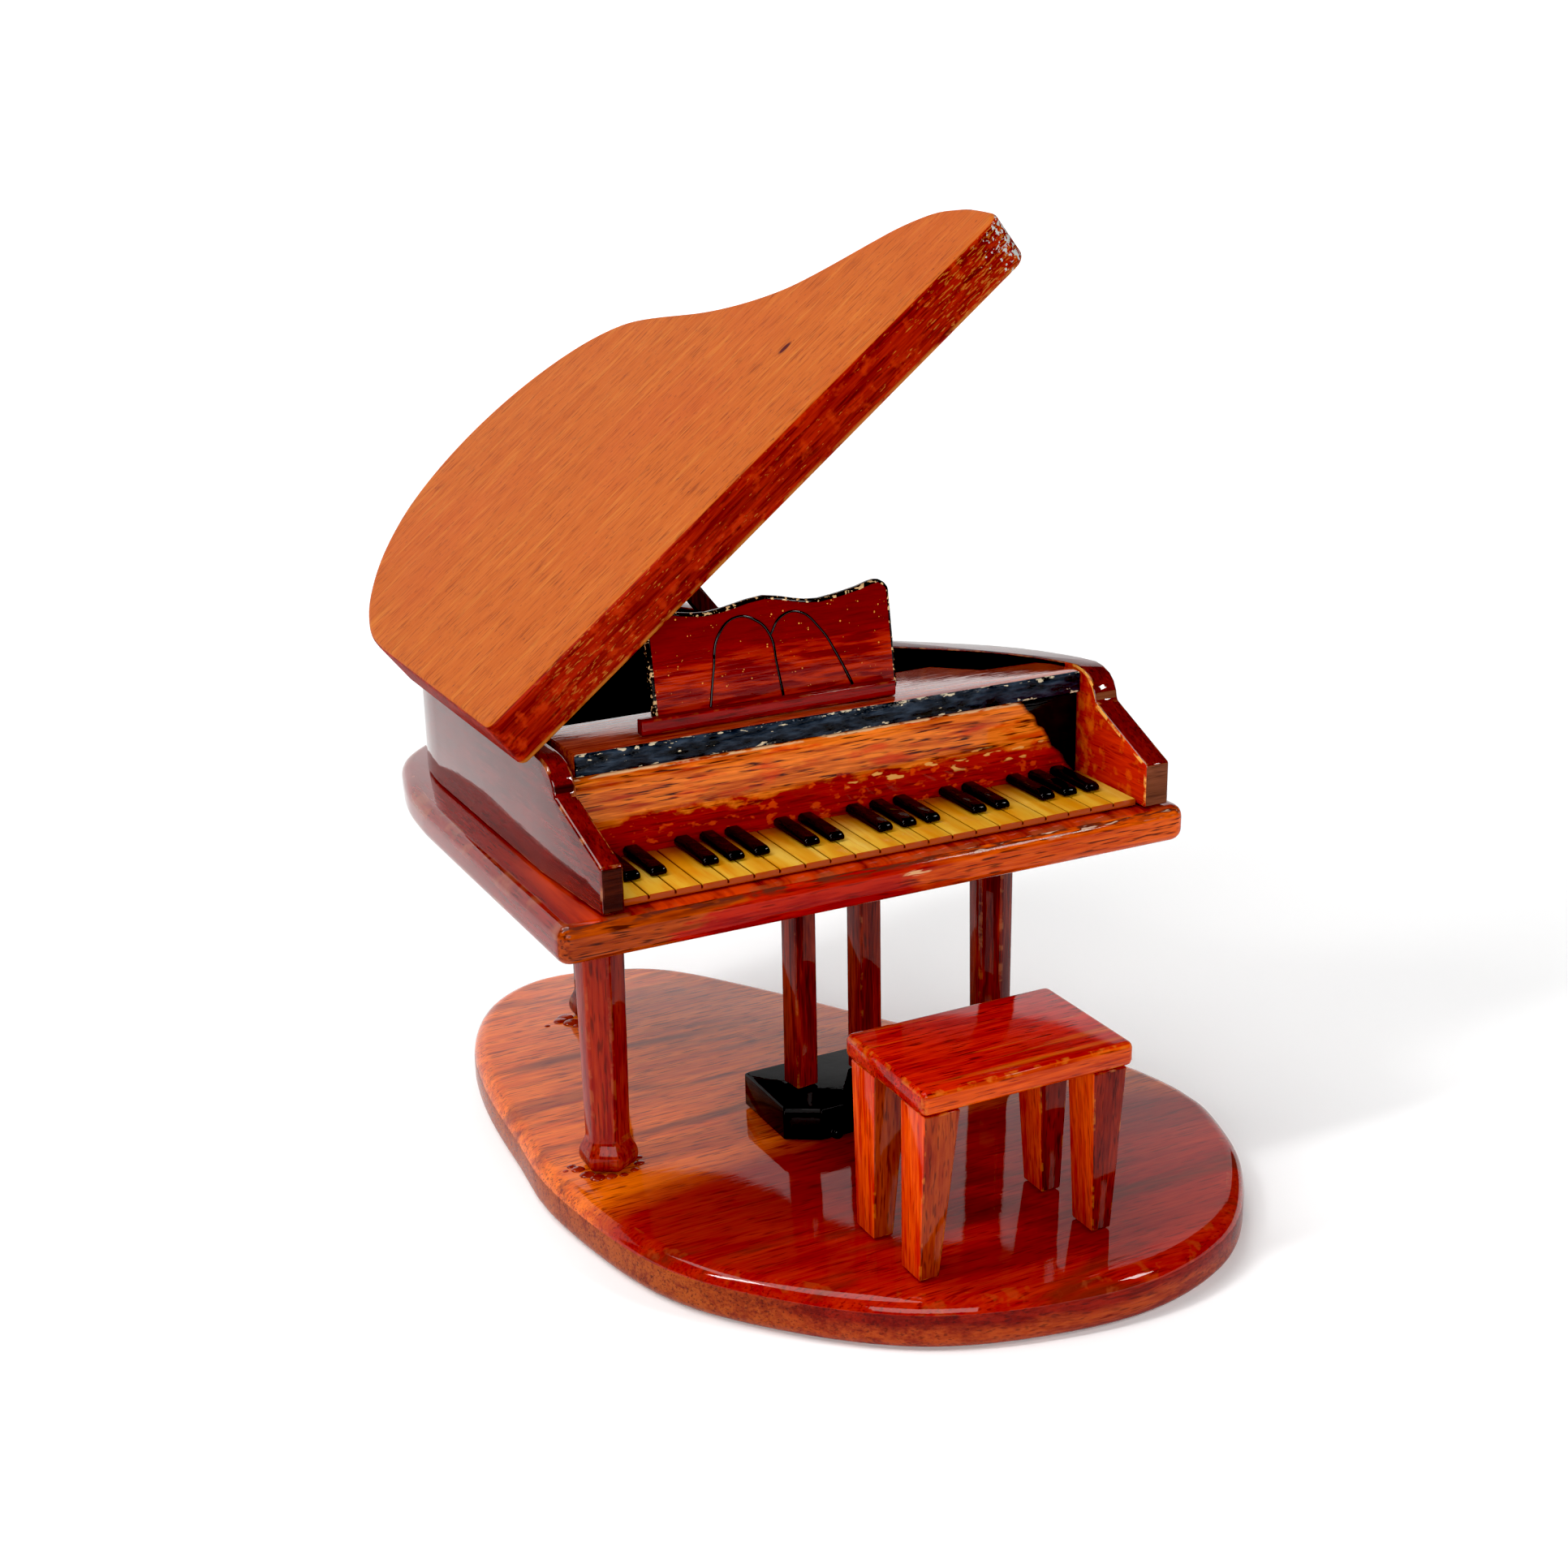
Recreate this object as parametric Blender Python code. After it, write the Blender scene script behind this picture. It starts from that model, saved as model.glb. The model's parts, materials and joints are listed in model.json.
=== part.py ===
"""Miniature wooden grand piano with its bench on a rounded base plate.

+X is the treble side, +Y the tail, +Z up. The origin is at the centre of the
footprint, on the underside of the base plate. Lengths in this file are in
millimetres and are turned into metres where a mesh is made.
"""

import math

import bmesh
import bpy
from mathutils import Vector

MM = 0.001
GAP = 0.3
SHIFT_X = -0.14
SHIFT_Y = -0.03

# Levels, from the floor up
BASE_TOP = 8.7
BASE_ROUND = 2.8
BED_BOTTOM = 62.1
BED_TOP = 68.4
KEY_TOP = 69.8
SHELF_BOTTOM = 84.0
SHELF_TOP = 87.7
RIM_TOP = 88.1

# Keyboard
PITCH = 4.4
WHITE_KEYS = 21
KEYS_LEFT = -49.0
KEYS_FRONT = -37.2
KEYS_BACK = -19.8
KERF_WIDTH = 0.35
KERF_DEPTH = 0.7
BLACK_WIDTH = 2.8
BLACK_FRONT = -31.2
BLACK_HEIGHT = 1.35
BLACK_ROUND = 0.45
BLACK_STEPS = (1, 2, 4, 5, 6)
KEYS_IN_OCTAVE = 7

# Key bed and case
BED_LEFT = -60.5
BED_RIGHT = 51.4
BED_FRONT = -40.8
BED_ROUND = 2.0
WALL_LEFT = -54.5
WALL_FRONT = -39.2
WALL_FRONT_LEFT = -53.0
WALL_RIGHT = 48.5
WALL_THICK_LEFT = 3.7
WALL_THICK_RIGHT = 4.7
CHEEK_PROFILE = [
    (-39.2, 76.1), (-24.2, 82.9), (-23.9, 83.6), (-23.7, 84.5),
    (-22.9, 86.0), (-21.6, 87.1), (-19.8, 87.8), (-17.6, 88.1),
]
CHEEK_BACK = -17.6
FALLBOARD_FRONT = -19.4
FALLBOARD_THICK = 2.1
FALLBOARD_SIDE = 0.1
SOUNDBOARD_FRONT = -16.6
SOUNDBOARD_THICK = 1.6
SOUNDBOARD_SIDE = 0.5

# Lid
LID_OPEN = math.radians(38.3)
LID_THICK = 9.1
LID_ROUND = 1.3
LID_FRONT = -20.4
LID_OVERHANG = 1.8
LID_STRAIGHT = 53.0
HINGE_X = -55.7
HINGE_Z = RIM_TOP

# Lid hinges
HINGE_LENGTH = 12.0
HINGE_STARTS = (-12.0, 18.0)
BARREL_R = 0.9
BARREL_BORE = 0.5
PIN_R = 0.4
LEAF_THICK = 0.4
LEAF_WIDTH = 4.8
LEAF_DROP = 2.3
KNUCKLE = 3.8
MORTISE = 1.2

# Prop
PROP_X = 5.9
PROP_Y = 33.2
PROP_Z = 82.9
PROP_THICK = 3.1
PROP_PIN_R = 0.6
PROP_PIN_HALF = 3.2
PROP_HOLE_R = 0.68
BLOCK_LEFT = 2.6
BLOCK_RIGHT = 1.6
BLOCK_HALF = 3.3
BLOCK_RISE = 1.8
FORK_SIDE = 0.35
FORK_FLOOR = 0.6
CUT_REACH = 9.0

# Music desk
DESK_CENTRE = -11.3
DESK_HALF = 21.9
DESK_FRONT = -15.3
DESK_LEAN = math.radians(10.0)
DESK_THICK = 2.0
LEDGE_LEFT = -36.6
LEDGE_RIGHT = 8.8
LEDGE_FRONT = -17.8
LEDGE_BACK = -15.8
LEDGE_TOP = 90.5

# Lyre
LYRE_X = 2.2
LYRE_Y = -6.2
POST_OFFSET = 6.4
POST_SIDE = 4.4
POST_TURN = math.radians(8.0)
PEDAL_TOP = 15.5
PEDAL_HALF = 13.2
PEDAL_FRONT = -16.1
PEDAL_BACK = 2.9
PEDAL_CORNER = 5.6
PEDAL_SHOULDER = -12.7
PEDAL_Z = 11.2
PEDAL_STEP = 5.7
PEDAL_R = 1.2

# Bench
SEAT_LEFT = -14.9
SEAT_RIGHT = 23.0
SEAT_FRONT = -67.8
SEAT_BACK = -42.8
SEAT_BOTTOM = 38.7
SEAT_TOP = 42.7
SEAT_CORNER = 1.2
SEAT_ROUND = 1.0
LEG_INSET = 0.8
LEG_HEAD = (6.2, 7.6)
LEG_FOOT = (3.6, 5.8)
LEG_SIDE_LEAN = 0.5
LEG_FRONT_LEAN = 2.6
LEG_BACK_LEAN = 0.4


def clear_scene():
    for obj in list(bpy.data.objects):
        bpy.data.objects.remove(obj, do_unlink=True)


def material(name, colour, roughness, metallic=0.0):
    mat = bpy.data.materials.new(name)
    mat.use_nodes = True
    shader = mat.node_tree.nodes["Principled BSDF"]
    shader.inputs["Base Color"].default_value = (*colour, 1.0)
    shader.inputs["Roughness"].default_value = roughness
    shader.inputs["Metallic"].default_value = metallic
    return mat


WOOD_RED = ((0.36, 0.05, 0.02), 0.2)
WOOD_ORANGE = ((0.55, 0.17, 0.04), 0.3)
BLACK = ((0.01, 0.01, 0.012), 0.25)
IVORY = ((0.83, 0.56, 0.14), 0.35)
BRASS = ((0.6, 0.42, 0.15), 0.35)
STEEL = ((0.5, 0.5, 0.5), 0.4)


def world(x, y, z):
    return Vector(((x + SHIFT_X) * MM, (y + SHIFT_Y) * MM, z * MM))


def finish(name, bm, look, origin=(0.0, 0.0, 0.0), turn=(0.0, 0.0, 0.0), metallic=0.0):
    """Turn a bmesh, built in millimetres about its origin, into a named object."""
    bmesh.ops.recalc_face_normals(bm, faces=bm.faces)
    bmesh.ops.scale(bm, vec=(MM, MM, MM), verts=bm.verts)
    mesh = bpy.data.meshes.new(name)
    bm.to_mesh(mesh)
    bm.free()
    mesh.shade_smooth()
    mesh.set_sharp_from_angle(angle=math.radians(35.0))
    obj = bpy.data.objects.new(name, mesh)
    obj.location = world(*origin)
    obj.rotation_euler = turn
    mesh.materials.append(material(name, look[0], look[1], metallic))
    bpy.context.collection.objects.link(obj)
    return obj


def cutter(obj):
    obj.hide_render = True
    obj.display_type = "WIRE"
    return obj


def boolean(obj, other, operation):
    mod = obj.modifiers.new(other.name, "BOOLEAN")
    mod.operation = operation
    mod.solver = "EXACT"
    mod.object = other
    cutter(other)


def loft(rings, capped=True):
    """Join closed rings of equal length with quads, and cap both ends."""
    bm = bmesh.new()
    rows = [[bm.verts.new(point) for point in ring] for ring in rings]
    count = len(rows[0])
    for low, high in zip(rows, rows[1:]):
        for i in range(count):
            j = (i + 1) % count
            bm.faces.new((low[i], low[j], high[j], high[i]))
    if capped:
        bm.faces.new(reversed(rows[0]))
        bm.faces.new(rows[-1])
    return bm


def box(low, high):
    (x0, y0, z0), (x1, y1, z1) = low, high
    corners = [(x0, y0), (x1, y0), (x1, y1), (x0, y1)]
    return loft([[(x, y, z) for x, y in corners] for z in (z0, z1)])


def rounded_rectangle(x0, y0, x1, y1, radius, steps=3):
    centres = [
        (x1 - radius, y0 + radius, -90), (x1 - radius, y1 - radius, 0),
        (x0 + radius, y1 - radius, 90), (x0 + radius, y0 + radius, 180),
    ]
    points = []
    for cx, cy, start in centres:
        points += arc(cx, cy, radius, start, start + 90, steps)
    return points


def arc(cx, cy, radius, start, end, steps):
    points = []
    for i in range(steps + 1):
        angle = math.radians(start + (end - start) * i / steps)
        points.append((cx + radius * math.cos(angle), cy + radius * math.sin(angle)))
    return points


def spline(points, steps, closed=False):
    """Catmull-Rom curve through the points."""
    count = len(points)
    spans = count if closed else count - 1
    result = []
    for i in range(spans):
        if closed:
            p0, p1, p2, p3 = (points[(i + k) % count] for k in (-1, 0, 1, 2))
        else:
            p0, p1, p2, p3 = (points[min(max(i + k, 0), count - 1)] for k in (-1, 0, 1, 2))
        for s in range(steps):
            t = s / steps
            result.append(tuple(
                0.5 * (2 * b + (c - a) * t + (2 * a - 5 * b + 4 * c - d) * t * t
                       + (3 * b - a - 3 * c + d) * t ** 3)
                for a, b, c, d in zip(p0, p1, p2, p3)))
    if not closed:
        result.append(tuple(points[-1]))
    return result


def inset(outline, distance):
    """Move a counter-clockwise closed outline inwards along its mitred normals."""
    result = []
    count = len(outline)
    for i, (x, y) in enumerate(outline):
        before = Vector(outline[i]) - Vector(outline[i - 1])
        after = Vector(outline[(i + 1) % count]) - Vector(outline[i])
        before.normalize()
        after.normalize()
        normal = Vector((-before.y - after.y, before.x + after.x))
        normal.normalize()
        scale = distance / max(0.5, normal.dot(Vector((-after.y, after.x))))
        result.append((x + normal.x * scale, y + normal.y * scale))
    return result


def plate(outline, bottom, top, radius, steps=3):
    """A slab with its rim rounded over at the top and the bottom."""
    levels = []
    for i in range(steps + 1):
        angle = math.radians(90.0 * i / steps)
        levels.append((bottom + radius * (1 - math.sin(angle)), radius * (1 - math.cos(angle))))
    levels.reverse()
    upper = [(bottom + top - z, depth) for z, depth in reversed(levels)]
    rings = []
    for z, depth in levels + upper:
        rings.append([(x, y, z) for x, y in inset(outline, depth)])
    return loft(rings)


def ring_y(radius, level, sides):
    """A circle about the Y axis, as points."""
    angles = [2 * math.pi * i / sides for i in range(sides)]
    return [(radius * math.cos(angle), level, radius * math.sin(angle)) for angle in angles]


def cylinder_y(radius, low, high, sides):
    return loft([ring_y(radius, level, sides) for level in (low, high)])


def tube_y(outer, inner, low, high, sides=16):
    corners = ((outer, low), (outer, high), (inner, high), (inner, low))
    rings = [ring_y(radius, level, sides) for radius, level in corners]
    return loft(rings + [rings[0]], capped=False)


# Outlines

def base_outline():
    points = [
        (-51.5, -6.5), (-50.5, 14), (-48.5, 36), (-44, 55), (-35.5, 69.5), (-23, 76.5),
        (-8.5, 74.5), (4, 67), (18, 46.5), (36.5, 15.5), (56, -7), (62.5, -28.5),
        (60, -44), (53.5, -57.5), (41, -71), (23.5, -77.5), (4.5, -76.5), (-16, -69.5),
        (-33.5, -54.5), (-46, -35.5),
    ]
    return list(reversed(spline(points, 3, closed=True)))


def bed_outline():
    curve = spline([
        (BED_RIGHT, -15), (50.8, -6.5), (47.5, 1), (41.5, 7), (33.5, 12.5), (26.5, 20),
        (22, 29), (18.5, 38.5), (16.5, 49), (12.5, 59), (6, 66.5), (-3.5, 71.5),
        (-15, 73.5), (-27, 71.5), (-38.5, 66), (-48, 58.5), (-54.5, 51.5), (-57.5, 43.5),
        (-59.7, 33), (BED_LEFT, 22),
    ], 2)
    corner = 2.5
    left = arc(BED_LEFT + corner, BED_FRONT + corner, corner, 180, 270, 4)
    right = arc(BED_RIGHT - corner, BED_FRONT + corner, corner, -90, 0, 4)
    return left + right + curve


def wall_outline():
    """Outer line of the case, from the left cheek round the tail to the right cheek."""
    slant = (WALL_LEFT - WALL_FRONT_LEFT) / (CHEEK_BACK - WALL_FRONT)
    left = [(WALL_FRONT_LEFT + slant * (y - WALL_FRONT), y) for y, _ in CHEEK_PROFILE]
    curve = spline([
        (WALL_LEFT, 31), (-53.7, 39.5), (-50.8, 47.5), (-44, 55), (-35, 61), (-25, 64.7),
        (-14, 66), (-3.5, 63.2), (4.5, 57), (9.5, 48), (12, 38.5), (14.5, 29.5),
        (17.5, 22), (22, 15), (29, 8.8), (38, 0.8), (44, -7), (47.5, -14),
    ], 2)
    right = [(WALL_RIGHT, y) for y, _ in reversed(CHEEK_PROFILE)]
    return left + curve + right


def wall_top(y):
    if y >= CHEEK_PROFILE[-1][0]:
        return RIM_TOP
    for (y0, z0), (y1, z1) in zip(CHEEK_PROFILE, CHEEK_PROFILE[1:]):
        if y <= y1:
            return z0 + (z1 - z0) * (y - y0) / (y1 - y0)
    return RIM_TOP


def wall_pairs():
    """Outer and inner points of the case wall at each station."""
    outer = wall_outline()
    count = len(outer)
    pairs = []
    for i, (x, y) in enumerate(outer):
        before = Vector(outer[i]) - Vector(outer[max(i - 1, 0)])
        after = Vector(outer[min(i + 1, count - 1)]) - Vector(outer[i])
        along = before.normalized() + after.normalized()
        if x == WALL_RIGHT or y <= CHEEK_BACK:
            along = Vector((0.0, -1.0)) if x > 0 else Vector((0.0, 1.0))
        along.normalize()
        thick = WALL_THICK_LEFT + (WALL_THICK_RIGHT - WALL_THICK_LEFT) * i / (count - 1)
        pairs.append(((x, y), (x + along.y * thick, y - along.x * thick)))
    return pairs


def lid_outline():
    curve = spline([
        (0, LID_STRAIGHT), (0.6, 60), (2.6, 67), (6.4, 75), (13.3, 84.5), (23, 92.7),
        (33.5, 97), (44, 98.4), (54, 97.3), (63, 94), (70.5, 88.8), (76, 81.5),
        (79.2, 71.5), (82, 60), (85.8, 49.5), (91.5, 39.5), (99.5, 31.8), (107.5, 24.8),
        (112.3, 17.5), (113.8, 9.5),
    ], 2)
    corner = 3.0
    right = arc(113.6 - corner, corner, corner, 0, -90, 4)
    left = arc(1.5, 1.5, 1.5, 270, 180, 3)
    outline = curve + right + left
    outline.reverse()
    return [(x - LID_OVERHANG, y) for x, y in outline]


# Sub-parts

def make_base_plate():
    finish("base_plate", plate(base_outline(), 0.0, BASE_TOP, BASE_ROUND, 4), WOOD_RED)


def make_legs():
    """Six-sided legs with a small bell foot."""
    legs = [
        ("leg_front_left", -40.7, -5.2, 4.5, 3.95),
        ("leg_front_right", 35.2, -5.2, 4.1, 3.75),
        ("leg_rear", -19.6, 53.0, 4.4, 3.9),
    ]
    foot = [(0.0, 1.1), (0.8, 1.28), (2.0, 1.34), (3.2, 1.28), (4.3, 1.12), (5.4, 1.0)]
    bottom = BASE_TOP + GAP
    top = BED_BOTTOM - GAP
    for name, x, y, top_radius, low_radius in legs:
        profile = [(bottom + z, low_radius * swell) for z, swell in foot]
        profile.append((top, top_radius))
        rings = []
        for z, radius in profile:
            rings.append([
                (radius * math.cos(math.radians(30 + 60 * k)),
                 radius * math.sin(math.radians(30 + 60 * k)), z)
                for k in range(6)])
        finish(name, loft(rings), WOOD_RED, (x, y, 0.0))


def make_key_bed():
    finish("key_bed", plate(bed_outline(), BED_BOTTOM, BED_TOP, BED_ROUND), WOOD_RED)


def make_case_rim():
    bm = bmesh.new()
    bottom = BED_TOP + GAP
    rows = []
    for (ox, oy), (ix, iy) in wall_pairs():
        top = wall_top(oy)
        rows.append([bm.verts.new(p) for p in (
            (ox, oy, bottom), (ox, oy, top), (ix, iy, top), (ix, iy, bottom))])
    for one, two in zip(rows, rows[1:]):
        for i in range(4):
            j = (i + 1) % 4
            bm.faces.new((one[i], two[i], two[j], one[j]))
    bm.faces.new(rows[0])
    bm.faces.new(reversed(rows[-1]))
    finish("case_rim", bm, WOOD_RED)


def make_soundboard():
    inner = [point for _, point in wall_pairs() if point[1] > SOUNDBOARD_FRONT]
    outline = [(inner[-1][0], SOUNDBOARD_FRONT)]
    outline += list(reversed(inner))
    outline.append((inner[0][0], SOUNDBOARD_FRONT))
    outline = inset(outline, SOUNDBOARD_SIDE)
    low = BED_TOP + GAP
    bm = loft([[(x, y, z) for x, y in outline] for z in (low, low + SOUNDBOARD_THICK)])
    finish("soundboard", bm, BLACK)


def make_white_keys():
    """One strip, sawn across its top into white keys."""
    low = BED_TOP + GAP
    width = WHITE_KEYS * PITCH
    section = [(KEYS_LEFT, low)]
    section.append((KEYS_LEFT + width, low))
    section.append((KEYS_LEFT + width, KEY_TOP))
    for i in range(WHITE_KEYS - 1, 0, -1):
        x = KEYS_LEFT + i * PITCH
        half = KERF_WIDTH / 2
        section += [(x + half, KEY_TOP), (x + half, KEY_TOP - KERF_DEPTH)]
        section += [(x - half, KEY_TOP - KERF_DEPTH), (x - half, KEY_TOP)]
    section.append((KEYS_LEFT, KEY_TOP))
    bm = loft([[(x, y, z) for x, z in section] for y in (KEYS_BACK, KEYS_FRONT)])
    finish("white_keys", bm, IVORY)


def make_black_keys():
    number = 0
    for i in range(1, WHITE_KEYS):
        if i % KEYS_IN_OCTAVE not in BLACK_STEPS:
            continue
        number += 1
        length = KEYS_BACK - BLACK_FRONT
        half = BLACK_WIDTH / 2
        low = GAP
        top = low + BLACK_HEIGHT
        profile = [(0.0, low), (0.0, top - 2 * BLACK_ROUND), (BLACK_ROUND / 2, top - BLACK_ROUND / 2)]
        profile += [(2 * BLACK_ROUND, top), (length, top), (length, low)]
        rings = []
        for x, drop in (
                (-half, BLACK_ROUND), (-half + BLACK_ROUND, 0.0),
                (half - BLACK_ROUND, 0.0), (half, BLACK_ROUND)):
            rings.append([(x, y, max(low, z - drop) if z > low else low) for y, z in profile])
        origin = (KEYS_LEFT + i * PITCH, BLACK_FRONT, KEY_TOP)
        finish(f"black_key_{number:02d}", loft(rings), BLACK, origin)


def make_fallboard():
    low = (KEYS_LEFT + FALLBOARD_SIDE, FALLBOARD_FRONT, BED_TOP + GAP)
    right = KEYS_LEFT + WHITE_KEYS * PITCH - FALLBOARD_SIDE
    high = (right, FALLBOARD_FRONT + FALLBOARD_THICK, SHELF_BOTTOM - GAP)
    finish("fallboard", box(low, high), WOOD_ORANGE)


def make_music_shelf():
    outline = [
        (-49.0, -20.5), (43.2, -20.5), (43.2, -17.5), (41.6, -13.6), (39.6, -11.6),
        (29.3, -11.0), (22.7, -4.8), (-49.0, -4.8),
    ]
    finish("music_shelf", plate(outline, SHELF_BOTTOM, SHELF_TOP, 0.4, 2), WOOD_RED)


def make_music_desk():
    """A thin leaning board with a scalloped top, and the strip that holds its foot."""
    low = SHELF_TOP + GAP
    top = spline([
        (DESK_HALF, 16.8), (20.0, 18.5), (16.0, 17.6), (9.0, 16.6), (4.5, 17.2),
        (-0.8, 18.3), (-6.5, 17.5), (-11.0, 16.9), (-16.0, 17.5), (-20.0, 18.5),
        (-DESK_HALF, 17.0),
    ], 2)
    outline = [(-DESK_HALF, 0.0), (DESK_HALF, 0.0)] + top
    bm = loft([[(x, y, z) for x, z in outline] for y in (DESK_THICK, 0.0)])
    origin = (DESK_CENTRE, DESK_FRONT, low + DESK_THICK * math.sin(DESK_LEAN))
    finish("music_desk", bm, WOOD_RED, origin, (-DESK_LEAN, 0.0, 0.0))
    ledge = box((LEDGE_LEFT, LEDGE_FRONT, low), (LEDGE_RIGHT, LEDGE_BACK, LEDGE_TOP))
    finish("desk_ledge", ledge, WOOD_RED)


def make_lid():
    """The lid is drawn closed about its hinge line and swung up to its rest angle."""
    origin = (HINGE_X, LID_FRONT, HINGE_Z)
    turn = (0.0, -LID_OPEN, 0.0)
    lid = finish("lid", plate(lid_outline(), 0.0, LID_THICK, LID_ROUND), WOOD_ORANGE, origin, turn)
    for k, start in enumerate(HINGE_STARTS):
        y = start - LID_FRONT
        low = (-MORTISE, y - GAP, -1.0)
        high = (LEAF_WIDTH + GAP, y + HINGE_LENGTH + GAP, MORTISE)
        cut = finish(f"mortise_cut_{k + 1}", box(low, high), WOOD_ORANGE, origin, turn)
        boolean(lid, cut, "DIFFERENCE")


def make_hinges():
    """Butt hinges: two outer knuckles on the case leaf, one middle knuckle on the lid leaf."""
    for k, start in enumerate(HINGE_STARTS):
        name = ("front", "back")[k]
        origin = (HINGE_X, start, HINGE_Z)
        low = (BARREL_BORE, 0.0, -LEAF_DROP)
        high = (BARREL_BORE + LEAF_THICK, HINGE_LENGTH, 0.0)
        case_leaf = finish(f"hinge_{name}_case_leaf", box(low, high), BRASS, origin, metallic=1.0)
        middle_low = (0.0, KNUCKLE, -BARREL_R)
        middle_high = (BARREL_R + 1.0, HINGE_LENGTH - KNUCKLE, BARREL_R)
        room = finish(f"knuckle_room_{name}_case", box(middle_low, middle_high), BRASS, origin)
        boolean(case_leaf, room, "DIFFERENCE")
        for end, y in (("a", 0.0), ("b", HINGE_LENGTH - KNUCKLE + GAP)):
            tube = tube_y(BARREL_R, BARREL_BORE, y, y + KNUCKLE - GAP)
            knuckle = finish(f"knuckle_{name}_{end}", tube, BRASS, origin)
            boolean(case_leaf, knuckle, "UNION")
        turn = (0.0, -LID_OPEN, 0.0)
        low = (0.0, 0.0, BARREL_BORE)
        high = (LEAF_WIDTH, HINGE_LENGTH, BARREL_BORE + LEAF_THICK)
        lid_leaf = finish(f"hinge_{name}_lid_leaf", box(low, high), BRASS, origin, turn, 1.0)
        for end, y in (("a", -1.0), ("b", HINGE_LENGTH - KNUCKLE - GAP)):
            room_low = (-1.0, y, 0.0)
            room_high = (BARREL_R + GAP, y + KNUCKLE + 1.0 + GAP, BARREL_R + GAP)
            room_name = f"knuckle_room_{name}_{end}"
            room = finish(room_name, box(room_low, room_high), BRASS, origin, turn)
            boolean(lid_leaf, room, "DIFFERENCE")
        tube = tube_y(BARREL_R, BARREL_BORE, KNUCKLE + GAP, HINGE_LENGTH - KNUCKLE - GAP)
        knuckle = finish(f"knuckle_{name}_c", tube, BRASS, origin, turn)
        boolean(lid_leaf, knuckle, "UNION")
        pin = cylinder_y(PIN_R, -0.1, HINGE_LENGTH + 0.1, 12)
        finish(f"hinge_{name}_pin", pin, BRASS, origin, metallic=1.0)


def prop_length():
    """Distance from the prop's pin to the lid's underside, square to the lid."""
    across = (PROP_X - HINGE_X) * math.sin(LID_OPEN)
    return across - (PROP_Z - HINGE_Z) * math.cos(LID_OPEN) - GAP


def make_prop():
    """A square stick on a pin, held in a forked block that stands on the soundboard."""
    half = PROP_THICK / 2
    origin = (PROP_X, PROP_Y, PROP_Z)
    turn = (0.0, -LID_OPEN, 0.0)
    foot = arc(0.0, 0.0, half, 180, 360, 6)
    outline = foot + [(half, prop_length()), (-half, prop_length())]
    bm = loft([[(x, y, z) for x, z in outline] for y in (half, -half)])
    prop = finish("lid_prop", bm, BLACK, origin, turn)
    bore = cylinder_y(PROP_HOLE_R, -CUT_REACH, CUT_REACH, 16)
    hole = finish("prop_hole", bore, BLACK, origin)
    boolean(prop, hole, "DIFFERENCE")
    floor = BED_TOP + GAP + SOUNDBOARD_THICK + GAP
    low = (PROP_X - BLOCK_LEFT, PROP_Y - BLOCK_HALF, floor)
    high = (PROP_X + BLOCK_RIGHT, PROP_Y + BLOCK_HALF, PROP_Z + BLOCK_RISE)
    block = finish("prop_block", box(low, high), BLACK)
    low = (PROP_X - CUT_REACH, PROP_Y - half - FORK_SIDE, PROP_Z - half - FORK_FLOOR)
    high = (PROP_X + CUT_REACH, PROP_Y + half + FORK_SIDE, PROP_Z + CUT_REACH)
    boolean(block, finish("prop_slot", box(low, high), BLACK), "DIFFERENCE")
    boolean(block, hole, "DIFFERENCE")
    pin = cylinder_y(PROP_PIN_R, -PROP_PIN_HALF, PROP_PIN_HALF, 12)
    finish("prop_pin", pin, STEEL, origin, metallic=1.0)


def make_lyre():
    """Two square posts on a low box with three round pedals in its front."""
    half = POST_SIDE / 2
    for name, side in (("left", -1), ("right", 1)):
        bm = box((-half, -half, PEDAL_TOP + GAP), (half, half, BED_BOTTOM - GAP))
        origin = (LYRE_X + side * POST_OFFSET, LYRE_Y, 0.0)
        finish(f"lyre_post_{name}", bm, WOOD_RED, origin, (0.0, 0.0, POST_TURN))
    outline = [
        (PEDAL_CORNER - PEDAL_HALF, PEDAL_FRONT), (PEDAL_HALF - PEDAL_CORNER, PEDAL_FRONT),
        (PEDAL_HALF, PEDAL_SHOULDER), (PEDAL_HALF, PEDAL_BACK),
        (-PEDAL_HALF, PEDAL_BACK), (-PEDAL_HALF, PEDAL_SHOULDER),
    ]
    outline = [(LYRE_X + x, y) for x, y in outline]
    bm = plate(outline, BASE_TOP + GAP, PEDAL_TOP, 0.4, 2)
    finish("pedal_box", bm, BLACK)
    for k, name in enumerate(("left", "middle", "right")):
        tip = ((0.0, 1.0), (-2.0, 1.0), (-2.6, 0.8), (-2.9, 0.4))
        rings = [ring_y(PEDAL_R * share, y, 12) for y, share in tip]
        origin = (LYRE_X + (k - 1) * PEDAL_STEP, PEDAL_FRONT - GAP, PEDAL_Z)
        finish(f"pedal_{name}", loft(rings), BLACK, origin)


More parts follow.
